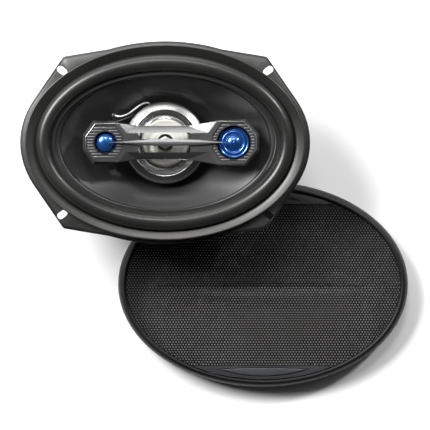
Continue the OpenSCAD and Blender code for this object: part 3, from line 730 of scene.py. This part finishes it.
# %% Surround
surround = Extent("surround")
ROLL_IN, ROLL_OUT = (cone.a - 0.6, cone.b - 0.6), (105.6, 72.2)
LAND, ROLL_H, RUBBER = 3.4, surround.z1 - 3.4, 0.9


def roll_row(w):
    """A row of the half tube at w degrees from its inner edge."""
    t = (1 - math.cos(math.radians(w))) / 2
    return (mix(ROLL_IN[0], ROLL_OUT[0], t), mix(ROLL_IN[1], ROLL_OUT[1], t),
            LAND + ROLL_H * math.sin(math.radians(w)))


upper = [(cone.a - 3.5, cone.b - 3.5, LAND), (cone.a - 1.6, cone.b - 1.6, LAND - 0.1)]
upper += [roll_row(w) for w in range(0, 181, 12)]
upper += [(106.4, 73.0, LAND - 0.5), (108.8, 75.4, LAND - 0.6)]
roll = finish_piece("rubber_surround", oval_skin(walled(upper, RUBBER), 180), roll_rubber, None,
                    "surround", slot="rubber", angle=70)

# %% [markdown]
# The surround bends as the cone moves: its outer land stays on the flange and its inner land goes
# with the cone. Here its placement is only baked into its mesh.


# %% Bake the surround in place
def bend_between(piece):
    """Bake the piece's placement into its mesh."""
    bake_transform(piece)


bend_between(roll)

# %% [markdown]
# ## The cone
#
# The cone runs from a round neck to the oval edge with a slight flare. Near its edge it
# has a pressed line, which is a separate thin band in the CAD and stays one here.

# %% Cone
NECK_R, PAPER = 20.0, 0.9
NECK_Z, EDGE_Z = cone.z0 + PAPER, cone.z1 - 0.1


def cone_row(t, lift=0.0):
    """A row of the cone at a share t of the way out."""
    return (mix(NECK_R, cone.a, t), mix(NECK_R, cone.b, t), mix(NECK_Z, EDGE_Z, t ** 0.94) + lift)


face_rows = [cone_row(t) for t in (0, 0.04, 0.12, 0.22, 0.34, 0.46, 0.58, 0.7, 0.8, 0.88, 0.94,
                                   0.98, 1.0)]
finish_piece("cone_body_shell", oval_skin(walled(face_rows, PAPER), 160), cone_black, "cone_body",
             "cone", slot="cone")

BAND = ((0.885, 0.12), (0.892, 0.7), (0.902, 0.98), (0.914, 0.95), (0.93, 0.5), (0.945, 0.12))
band_rows = [cone_row(t, lift) for t, lift in BAND]
finish_piece("cone_pressed_line", oval_skin(walled(band_rows, 0.3), 160), cone_black, "cone_body",
             "cone_edge_band", slot="cone")

# %% [markdown]
# The two leads leave the cone through eyelets under a blob of cement. A blob is a sphere
# flattened and pushed about a little, so that no two are the same.

# %% Eyelets
blobs = bmesh.new()
for x, y, z in ((-42, 22, -13.9), (-45, 16, -14.6)):
    made = bmesh.ops.create_icosphere(blobs, subdivisions=3, radius=2.5,
                                      matrix=Matrix.Translation((x, y, z)))
    for vert in made["verts"]:
        side = vert.co - Vector((x, y, z))
        swell = 1 + 0.10 * math.sin(2.1 * side.x + x) + 0.08 * math.cos(2.6 * side.y + y)
        vert.co = Vector((x + side.x * swell, y + side.y * swell, z + side.z * 0.55))
finish_piece("eyelet_cement", blobs, cement, "cone_body", "cone_eyelets", slot="glue", angle=80)

# %% [markdown]
# ## Leads
#
# The leads are flexible braid, soldered at both ends with a little slack. Each follows the same
# points as its CAD solid. A bevelled curve gives a smooth tube of the right width, and it is made a
# mesh.


# %% Leads
LEAD_R = 0.8


def lead(name, runs, material, node_name):
    """Braided leads along runs of points, made a mesh."""
    curve = bpy.data.curves.new(name, "CURVE")
    curve.dimensions, curve.bevel_depth, curve.bevel_resolution = "3D", LEAD_R * MM, 3
    curve.resolution_u, curve.use_fill_caps = 10, True
    for run in runs:
        spline = curve.splines.new("BEZIER")
        spline.bezier_points.add(len(run) - 1)
        for knot, point in zip(spline.bezier_points, run):
            knot.co = Vector(point) * MM
            knot.handle_left_type = knot.handle_right_type = "AUTO"
    holder = bpy.data.objects.new(name + "_curve", curve)
    bpy.context.scene.collection.objects.link(holder)
    mesh = plain_mesh(holder)
    bpy.data.objects.remove(holder)
    mesh.name = name
    mesh.shade_smooth()
    piece = to_scene(name, mesh, material)
    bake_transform(piece)
    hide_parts(node_name)
    print(f"{name}: {len(mesh.polygons)} faces")


silver_run = [(-41, 22, -12.6), (-37.5, 21.4, -10.5), (-31.5, 22.8, -8), (-26, 26.6, -7),
              (-20, 31, -8), (-15, 32.6, -10.4), (-13, 32, -12)]
black_run = [(-44, 16, -13), (-40, 17, -11.4), (-35, 18.8, -10.4), (-30.5, 20.6, -10.4),
             (-27.5, 22, -12), (-26, 23, -14)]
terminal_runs = [[(s * 7, -66.2, -26), (s * 7, -62, -25), (s * 8, -55, -28), (s * 9, -48, -31),
                  (s * 9, -41, -29), (s * 9, -36, -24), (s * 9, -34.5, -21)] for s in (-1, 1)]
lead("silver_lead", [silver_run], silver_braid, "tweeter_lead")
lead("black_lead", [black_run], black_sleeve, "tweeter_lead_black")
lead("terminal_leads", terminal_runs, silver_braid, "tinsel_leads")

# %% [markdown]
# ## Midrange
#
# The midrange sits on the centre post inside a satin silver ring. The ring's outer slope
# is wide and rounded, and its inner slope dips to a thin bright lip. All of it is round,
# so every piece is a profile that is spun.

# %% Midrange frame and lip
ring, lip = Extent("midrange_frame"), Extent("midrange_lip")
CRESTED = ((ring.a, 4.4), (ring.a - 0.15, 3.9), (ring.a - 0.5, 3.5), (32.0, 2.85), (30.0, 1.65),
           (27.9, 0.38), (27.55, 0.12), (27.2, 0), (26.85, 0.12), (26.5, 0.38), (24.6, 1.45),
           (22.8, 2.45), (21.6, 3.1), (21.15, 3.5), (21.0, 4.0))  # radius, depth below the crest
ring_profile = [(ring.a, -9.4)] + [(r, ring.z1 - depth) for r, depth in CRESTED]
ring_profile += [(21.0, -8.8), (19.0, -11.2), (16.0, -14.6), (13.2, -17.9), (12.4, -18.6),
                 (8.2, -18.8), (8.2, -21.9), (13.8, -21.9), (18.6, -16.2), (23.0, -10.8),
                 (25.6, -8.2), (27.2, -5.4), (29.4, -7.2), (31.4, -9.4)]
finish_piece("midrange_ring", spun(ring_profile, sides=144), satin_silver, "frame",
             "midrange_frame", slot="silver", angle=26)
lip_profile = arc((lip.a - 0.75, lip.z0 + 1.5), (0.7, 0.7), -60, 240, 12)
finish_piece("midrange_bright_lip", spun(lip_profile, sides=128), mirror_silver, "frame",
             "midrange_lip", slot="chrome")

# %% [markdown]
# The midrange cone is a thin metallised film with a small roll at its edge and two pressed rings.
# It is attached to a body of its own.

# %% Midrange cone and plug
film = [(19.4, -8.0), (19.0, -7.45), (18.4, -7.3), (17.8, -7.5), (17.2, -7.8), (15.4, -8.5),
        (14.2, -8.95), (13.7, -9.0), (13.3, -9.25), (12.4, -9.6), (11.2, -10.1), (10.7, -10.2),
        (10.2, -10.5), (9.0, -11.0), (7.9, -11.6), (7.2, -12.4), (6.9, -13.4), (6.9, -16.5)]
finish_piece("midrange_film", spun(walled(film, 0.4), sides=128), metallised, "midrange_body",
             "midrange_cone", slot="mid_cone", angle=60)
plug = Extent("midrange_plug")
plug_profile = [(3.1, plug.z0), (6.2, plug.z0), (6.2, -13.4), (6.0, -12.2), (5.5, -11.0),
                (4.9, -9.8), (4.5, -8.6), (4.3, -6.0), (4.3, 0.0), (4.4, plug.z1 - 0.6),
                (4.0, plug.z1), (3.1, plug.z1)]
finish_piece("midrange_centre_plug", spun(plug_profile, sides=72), mirror_silver, "frame",
             "midrange_plug", slot="chrome")

# %% [markdown]
# ## The bridge
#
# The bridge is one moulding: two eight-sided heads joined by a bar with a long window.
# Its front is small and its foot is wide, so wide facets slope outward all round. That
# is built by placing the same corners twice, once for the front and once for the foot,
# and bridging the two outlines. The facets then come out by themselves.

# %% Bridge outlines
bridge = Extent("bridge")
FRONT, FOOT, SEAT = Extent("tweeter_plate").z1 - 0.5, bridge.z0, 6.8
SLOPE_Z, WEB = 9.2, 2.4          # height at which the facets end; thickness of hub and arms
RECESS = 1.5                     # depth of the recess that holds each ribbed face
RECESS_IN, PLATE_IN, RIBS_IN = 0.955, 0.95, 0.94  # its size, the plate's and the ribs', as shares
HEAD_CORNERS, BAR_CORNERS = (2, 5), (3, 4)
UPPER_FRONT = [(-64.6, 5.2), (-57.0, 15.4), (-38.2, 15.9), (-31.6, 7.8), (35.2, 7.8), (42.6, 17.6),
               (64.6, 17.2), (74.6, 5.6)]
UPPER_FOOT = [(-67.0, 6.2), (-58.6, 17.9), (-38.2, 16.3), (-21.0, 13.6), (18.0, 13.6),
              (42.6, 18.0), (66.0, 19.0), (76.6, 6.6)]


def both_halves(upper):
    """An outline from its upper half."""
    return upper + [(x, -y) for x, y in reversed(upper)]


def sloped_block(front, foot, z_front, z_foot, z_base):
    """A block with a small front and a wide foot, closed below at z_base."""
    bm = bmesh.new()
    return bridged(bm, [loop_of(bm, front, z_front), loop_of(bm, foot, z_foot),
                        loop_of(bm, foot, z_base)], capped=True)


# %% [markdown]
# The four corner facets between heads and bar are not flat, so each is split along the
# line that the moulding has: from the head's front corner down to the bar's foot.
# Two round wells take the tweeters, a shallow eight-sided recess holds each ribbed face,
# and the window lets the midrange through. They are cut with the exact boolean solver,
# after a small bevel has given the long edges their soft moulded corner.


# %% Bridge
def block(x0, x1, y0, y1, z0, z1):
    """An upright box, as a cutting shape."""
    bm = bmesh.new()
    add_cube(bm, ((x0 + x1) / 2, (y0 + y1) / 2, (z0 + z1) / 2), (x1 - x0, y1 - y0, z1 - z0))
    return bm


def prism(points, z0, z1):
    """An upright solid on an outline."""
    return plate([points], z0, z1 - z0)


def drum(x, radius, z0, z1):
    """An upright round solid at x."""
    return spun([(0, z0), (radius, z0), (radius, z1), (0, z1)], (x, 0.0), closed=False)


def bridge_part(name, bm, angle=38.0):
    """A piece of the bridge's own moulding."""
    return finish_piece(name, bm, bridge_grey, "frame", "bridge", slot="bridge", angle=angle)


def recess_outline(front_points, inset):
    """The front outline of a head, drawn in toward its own middle."""
    cx = sum(p[0] for p in front_points) / len(front_points)
    return [(cx + (x - cx) * inset, y * inset) for x, y in front_points]


LEFT_FACE = both_halves([(-64.6, 5.2), (-57.0, 15.2), (-40.4, 15.2), (-33.6, 6.6)])
RIGHT_FACE = both_halves([(37.6, 6.6), (45.4, 17.0), (64.6, 17.0), (74.4, 5.6)])
WELLS = ((tweeter.cx, 15.0), (super_tweeter.cx, 10.4))
WINDOW_X, WINDOW_Y = (-21.5, 20.5), 8.0

body_bm = sloped_block(both_halves(UPPER_FRONT), both_halves(UPPER_FOOT), FRONT, SLOPE_Z, SEAT)
for head, bar in zip(HEAD_CORNERS, BAR_CORNERS):
    for side in (-1, 1):
        ends = [Vector((*UPPER_FRONT[head], FRONT)), Vector((*UPPER_FOOT[bar], SLOPE_Z))]
        pair = [min(body_bm.verts, key=lambda v: (v.co - Vector((p.x, side * p.y, p.z))).length)
                for p in ends]
        bmesh.ops.connect_verts(body_bm, verts=pair)
bridge_piece = bridge_part("bridge_moulding", soften(body_bm, 0.35, 12.0), angle=12)
cutters = [block(*WINDOW_X, -WINDOW_Y, WINDOW_Y, SEAT - 2, FRONT + 2)]
cutters += [drum(x, r, SEAT - 2, FRONT + 2) for x, r in WELLS]
cutters += [prism(recess_outline(points, RECESS_IN), FRONT - RECESS, FRONT + 2)
            for points in (LEFT_FACE, RIGHT_FACE)]
cut_with(bridge_piece, cutters)

# %% [markdown]
# The heads are deeper than the bar: a skirt under each one closes round the tweeter's
# cup. Each skirt is the same eight-sided outline, hollow, with a rounded lower edge.

# %% Skirts and web
for label, points, well in (("left", LEFT_FACE, WELLS[1]), ("right", RIGHT_FACE, WELLS[0])):
    skirt = prism(recess_outline(points, 1.02), FOOT, SEAT + 0.2)
    skirt_piece = bridge_part(f"bridge_skirt_{label}", soften(skirt, 0.8, 30.0, 3))
    cut_with(skirt_piece, [drum(well[0], well[1], FOOT - 2, SEAT + 2)])

hub = [(3.1, SEAT), (6.4, SEAT), (6.4, SEAT + 2.0), (6.0, SEAT + WEB), (3.1, SEAT + WEB)]
bridge_part("bridge_hub", spun(hub, sides=64))
for label, x0, x1 in (("left", WINDOW_X[0] - 1, -5.8), ("right", 5.8, WINDOW_X[1] + 1)):
    arm = block(x0, x1, -2.4, 2.4, SEAT, SEAT + WEB)
    bridge_part(f"bridge_arm_{label}", soften(arm, 0.4, 30.0))

# %% [markdown]
# A long pointed rib lies over the middle of the bridge, from dome to dome. Its section
# is a low roof, so its two faces catch the light differently: the outline is narrow at
# the top, full at mid height, and closed underneath. Two small pads hold it just clear
# of the bar, so the cap nut fits below it.

# %% Long rib
rib = Extent("bridge_rib")
SPEAR = [(rib.x0 + 0.4, 0.0), (-32.0, 1.0), (-20.0, 2.2), (-6.0, 2.9), (8.0, 2.9), (28.0, 2.2),
         (38.0, 1.2), (rib.x1 - 0.4, 0.0)]
spear_bm = bmesh.new()
outline = SPEAR + [(x, -y) for x, y in reversed(SPEAR[1:-1])]
ridge = [(x * 0.995, y * 0.30) for x, y in outline]
bridged(spear_bm, [loop_of(spear_bm, points, z) for points, z in
                   ((outline, rib.z0), (outline, rib.z0 + 0.9), (ridge, rib.z1))], capped=True)
# The long rib takes the light grey, which is a painted highlight.
finish_piece("bridge_long_rib", soften(spear_bm, 0.2, 25.0), rib_highlight_grey, "frame", "bridge_rib",
             slot="bridge")
for label, x in (("left", -25.0), ("right", 24.0)):
    pad = block(x - 2, x + 2, -1.2, 1.2, FRONT - 0.2, rib.z0 + 0.2)
    bridge_part(f"bridge_rib_pad_{label}", soften(pad, 0.2, 30.0))

# %% [markdown]
# The chrome nut that holds the bridge has six sides and a domed cap. The hexagon is a
# six-sided circle pulled upward and bevelled, and the cap is a spun arc.

# %% Cap nut
nut = Extent("bridge_nut")
hexagon = bmesh.new()
bmesh.ops.create_circle(hexagon, cap_ends=True, segments=6, radius=5.2,
                        matrix=Matrix.Translation((0, 0, nut.z0)))
finish_piece("cap_nut_hexagon", soften(thicken(hexagon, 3.0), 0.4, 30.0, 3), nut_chrome, "frame",
             "bridge_nut", slot="chrome")
CAP_R = 4.4
dome_top = [(CAP_R, nut.z0 + 2.8)] + arc((0, nut.z1 - CAP_R), (CAP_R, CAP_R), 20, 90, 12)
finish_piece("cap_nut_dome", spun([(0, nut.z0 + 2.8)] + dome_top, sides=64, closed=False),
             nut_chrome, "frame", "bridge_nut", slot="chrome", angle=60)

# %% [markdown]
# ## The tweeters
#
# Each head has a face with fine level ribs on both sides of the opening. The ribs are
# one bevelled bar, repeated, and cut to the eight-sided outline and to the round opening.


# %% Ribbed faces
RIB_PITCH, RIB_WIDE = 2.35, 0.8


def ribbed_face(name, outline, x, opening, node_name):
    """A thin plate with level ribs, and a smooth ring round its opening."""
    z = FRONT - RECESS
    # The plate under the ribs takes the dark grey, painted shade between the ribs; the ribs take
    # the light grey, a painted highlight on their tops.
    base = finish_piece(name, prism(recess_outline(outline, PLATE_IN), z, z + 0.4), plate_shade_grey,
                        "frame", node_name, slot="plate")
    cut_with(base, [drum(x, opening, z - 2, z + 4)])
    bars = bmesh.new()
    limit = recess_outline(outline, RIBS_IN)
    low_x, high_x = min(px for px, _ in limit), max(px for px, _ in limit)
    corner, reach_y = min(abs(py) for _, py in limit), max(py for _, py in limit)
    for k in range(-7, 8):
        y = k * RIB_PITCH
        if abs(y) > reach_y - 0.8:
            continue
        cut_in = 0.6 + max(abs(y) - corner, 0) * 0.72
        hole = math.sqrt(max((opening + 0.9) ** 2 - y * y, 0.0))
        stops = [low_x + cut_in, x - hole, x + hole, high_x - cut_in]
        for x0, x1 in (stops[:2], stops[2:]) if hole else (stops[::3],):
            if x1 - x0 > RIB_WIDE:
                add_cube(bars, ((x0 + x1) / 2, y, z + 0.7), (x1 - x0, RIB_WIDE, 1.0))
    finish_piece(name + "_ribs", soften(bars, 0.22, 30.0), rib_highlight_grey, "frame", node_name,
                 slot="plate")
    collar = spun([(opening, z), (opening + 0.7, z), (opening + 0.7, z + 1.0),
                   (opening + 0.5, z + 1.2), (opening + 0.2, z + 1.2), (opening, z + 0.9)],
                  (x, 0.0))
    finish_piece(name + "_collar", collar, black_plastic, "frame", node_name, slot="plate")


ribbed_face("tweeter_face", RIGHT_FACE, tweeter.cx, 13.6, "tweeter_plate")
ribbed_face("super_tweeter_face", LEFT_FACE, super_tweeter.cx, 8.9, "super_tweeter_plate")

# %% [markdown]
# A dome tweeter has a thin dome, a small roll round it, and a flat rim that is glued
# down. The larger one has a second ring between the dome and the rim, and a small
# pointed tip in the middle. Both are profiles from the axis outward.

# %% Domes
z = tweeter.z0 + 0.5
BIG_DOME = ((0, 3.9), (2.0, 3.75), (3.9, 3.2), (5.4, 2.3), (6.5, 1.2), (7.0, 0.5), (7.3, 0.5),
            (7.7, 1.3), (8.5, 1.9), (9.4, 1.9), (10.1, 1.2), (10.5, 0.5), (10.9, 0.6), (11.4, 1.2),
            (12.1, 1.3), (12.6, 0.8), (12.8, 0), (12.8, -0.5), (0, -0.5))
big_profile = [(r, z + h) for r, h in BIG_DOME]
finish_piece("tweeter_blue_dome", spun(big_profile, (tweeter.cx, 0.0), 96, closed=False),
             dome_blue, "tweeter_body", "tweeter_dome", slot="blue", angle=75)
tip = Extent("tweeter_tip")
tip_profile = [(0, tip.z1), (0.7, tip.z1 - 0.25), (1.2, tip.z1 - 0.9), (1.5, tip.z1 - 1.7),
               (2.0, tip.z0 + 0.3), (2.0, tip.z0), (0, tip.z0)]
finish_piece("tweeter_blue_tip", spun(tip_profile, (tweeter.cx, 0.0), 48, closed=False), dome_blue,
             "tweeter_body", "tweeter_tip", slot="blue", angle=75)
small_r = super_tweeter.a
rise = super_tweeter.z1 - z - 0.1
small_profile = [(0, super_tweeter.z1)] + arc((0, z + 0.1), (small_r - 0.5, rise), 80, 0, 8)
small_profile += [(small_r, z), (small_r, z - 0.5), (0, z - 0.5)]
finish_piece("super_tweeter_blue_dome", spun(small_profile, (super_tweeter.cx, 0.0), 96,
                                             closed=False), small_dome_blue, "super_tweeter_body",
             "super_tweeter_dome", slot="blue", angle=75)

# %% [markdown]
# ## Behind the flange
#
# The spider is a disc of cloth pressed into rings; like the surround, it is only baked in place.
# The rubber boot is a soft-edged cup with a label-free flat back.

# %% Spider
spider = Extent("spider")
cloth = [(19.5, spider.z1), (20.8, spider.z1)]
cloth += [(mix(20.8, 36.4, k / 48), -38.9 - 1.2 * math.cos(TAU * k / 8) * (1 if k < 46 else 0.4))
          for k in range(1, 49)]
cloth += [(39.0, -39.9), (42.0, -40.0)]
spider_piece = finish_piece("spider_cloth_disc", spun(walled(cloth, 0.6)), spider_cloth, None,
                            "spider", slot="spider", angle=75)
bend_between(spider_piece)

# %% Magnet boot
boot = Extent("magnet_boot")
r, z0, z1 = boot.a, boot.z0, boot.z1
boot_profile = [(22, z0), (r - 2.4, z0), (r - 0.9, z0 + 0.5), (r - 0.2, z0 + 1.6), (r, z0 + 3.2),
                (r - 0.3, z0 + 9), (r - 0.3, z1 - 3.2), (r, z1 - 2.4), (r, z1 - 0.8),
                (r - 0.5, z1), (r - 1.5, z1), (r - 1.7, z1 - 0.6), (r - 1.7, z0 + 1.8),
                (22, z0 + 1.8)]
finish_piece("rubber_boot", spun(boot_profile, sides=128), boot_rubber, "frame", "magnet_boot",
             slot="rubber")

# %% [markdown]
# ## The grille
#
# The grille's frame is a deep oval moulding with a rounded front edge, open at the back.
# A second step inside the edge holds the mesh.

# %% Grille frame
# Each row is a height, and how far inside the oval it is: along both axes, or along each.
FRAME_ROWS = ((0, 1.4), (0.7, 0.6), (2.4, 0.15), (5, 0), (11, 0.1), (15.4, 0.6), (18.4, 1.5),
              (20.3, 2.7), (21.3, 4.0), (21.5, 5.2), (21.1, 6.2), (20.2, 6.9), (19.4, 7.3),
              (16.6, 4.8, 4.6), (13.6, 3), (3, 2.6), (0, 3))
frame_bm = oval_skin([(grille.a - inset[0], grille.b - inset[-1], grille.z0 + h)
                      for h, *inset in FRAME_ROWS], 180)
finish_piece("grille_frame_moulding", shift(frame_bm, grille.cx, grille.cy, 0), grille_black,
             "grille", "grille_frame", slot="grille")

# %% [markdown]
# The mesh is punched steel: six-sided holes in rows that are staggered by half a step.
# One cell is a hexagon with a smaller hexagon missing from its middle. The cell is
# doubled again and again into a row, the row into a sheet, and the sheet is then cut to
# shape, domed and given its thickness. A long pointed crease is pressed into it across the
# middle: steep above its line, and shallower below.

# %% Perforated mesh
PITCH, HOLE = 2.4, 0.52
CREASE_Y, CREASE_HALF, CREASE_DEEP = -2.0, 102.0, 1.35
CREASE_RISE, CREASE_FALL = 4.5, 8.5
DOMING, SHEET = 1.2, 0.6
mesh_box = Extent("grille_mesh")
sheet_bm = bmesh.new()
for share in (1, HOLE):
    bmesh.ops.create_circle(sheet_bm, segments=6, radius=PITCH / math.sqrt(3) * share)
bmesh.ops.bridge_loops(sheet_bm, edges=list(sheet_bm.edges))


def double_up(bm, step):
    """Copy everything in bm by step."""
    copied = bmesh.ops.duplicate(bm, geom=list(bm.verts) + list(bm.edges) + list(bm.faces))["geom"]
    new_verts = [part for part in copied if isinstance(part, bmesh.types.BMVert)]
    bmesh.ops.translate(bm, verts=new_verts, vec=step)


columns = math.ceil(math.log2(2 * mesh_box.a / PITCH + 2))
row_step = PITCH * math.sqrt(3) / 2
for k in range(columns):
    double_up(sheet_bm, (PITCH * 2 ** k, 0, 0))
double_up(sheet_bm, (PITCH / 2, row_step, 0))
levels = math.ceil(math.log2(2 * mesh_box.b / row_step + 2)) - 1
for k in range(levels):
    double_up(sheet_bm, (0, 2 * row_step * 2 ** k, 0))
width, depth = PITCH * 2 ** columns, row_step * 2 ** (levels + 1)
shift(sheet_bm, -width / 2, -depth / 2, 0)
ma, mb = mesh_box.a + 1.2, grille.b - 7.2
middles = [(face, face.calc_center_median()) for face in sheet_bm.faces]
outside = [face for face, c in middles
           if (c.x / ma) ** 2 + (c.y / mb) ** 2 > 1 or abs(c.y) > mesh_box.b + 0.2]
bmesh.ops.delete(sheet_bm, geom=outside, context="FACES")
bmesh.ops.remove_doubles(sheet_bm, verts=sheet_bm.verts, dist=0.01)
for vert in sheet_bm.verts:
    share = (vert.co.x / ma) ** 2 + (vert.co.y / mb) ** 2
    vert.co.z = mesh_box.z1 - DOMING * share - 0.05
    swell = max(0.0, 1 - (vert.co.x / CREASE_HALF) ** 2)
    above = vert.co.y - CREASE_Y
    reach = (CREASE_RISE if above > 0 else CREASE_FALL) * swell
    if abs(above) < reach:
        vert.co.z -= CREASE_DEEP * swell * (1 - abs(above) / reach)
shift(sheet_bm, grille.cx, grille.cy, 0)
finish_piece("grille_perforated_mesh", solid_skin(sheet_bm, SHEET, upward=True), mesh_paint,
             "grille", "grille_mesh", slot="mesh", angle=30)

# %% [markdown]
# Two panels close the oval above and below the mesh. Each has a straight bar along the
# mesh and a shallow lens-shaped hollow. The lower hollow holds a plain plate, left blank.


# %% End panels
BAR_Y, LENS_Y, PANEL_Z = 68.0, 70.4, grille.z0 + 18.6


def oval_end(side):
    """The part of the grille's oval beyond the bar, as an outline."""
    a, b = grille.a - 7.6, grille.b - 7.6
    edge = math.degrees(math.asin(BAR_Y / b))
    return arc((0, 0), (a, side * b), edge, 180 - edge, 40)


def lens(width, height, base):
    """A hollow with a nearly straight inner edge and a curved outer edge."""
    outer, inner = [[(mix(-width, width, k / 24), base + h * (1 - (k / 12 - 1) ** 2))
                     for k in range(25)]
                    for h in (height, -0.2 * height)]
    return outer + inner[-2:0:-1]


for label, side, width, height in (("top", 1, 32, 6.0), ("bottom", -1, 40, 6.4)):
    panel_bm = prism(oval_end(side), PANEL_Z, PANEL_Z + 2.8)
    piece = finish_piece(f"grille_{label}_panel_moulding", soften(panel_bm, 0.5, 50.0, 3),
                         panel_black, "grille", f"grille_{label}_panel", slot="grille")
    hollow = [(x, side * y) for x, y in lens(width, height, LENS_Y)]
    cut_with(piece, [prism(hollow, PANEL_Z + 1.8, PANEL_Z + 6)])
    piece.data.transform(Matrix.Translation((grille.cx * MM, grille.cy * MM, 0)))

badge = Extent("grille_badge")
badge_bm = soften(prism([(x, -y) for x, y in lens(36, 5.4, LENS_Y + 0.3)], badge.z0, badge.z1),
                  0.5, 40.0, 3)
finish_piece("grille_blank_plate", shift(badge_bm, grille.cx, grille.cy, 0), badge_grey, "grille",
             "grille_badge", slot="badge")

# %% [markdown]
# ## The pieces that keep their CAD solid
#
# These are small, or sit inside. Their CAD shape is already right, so each one only
# gets its finish.

# %% Finishes for the CAD nodes
KEPT = {
    foam_black: ["flange_gasket", "grille_gasket"],
    amber_film: ["voice_coil_former"],
    copper_wire: ["voice_coil", "midrange_coil"],
    zinc: ["front_plate", "yoke", "basket_rivets", "terminal_rivets", "center_post", "post_spacer",
           "post_nut", "grille_clips"],
    ferrite_grey: ["magnet", "midrange_magnet", "tweeter_magnet", "super_tweeter_magnet"],
    phenolic: ["terminal_board"],
    brass_tin: ["terminal_positive", "terminal_negative"],
    black_plastic: ["tweeter_cup", "super_tweeter_cup"],
    capacitor_blue: ["tweeter_capacitor", "super_tweeter_capacitor"],
}
for material, names in KEPT.items():
    for name in names:
        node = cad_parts[name]
        node.data.materials.clear()
        node.data.materials.append(material)
print("kept:", sum(len(names) for names in KEPT.values()), "CAD nodes")
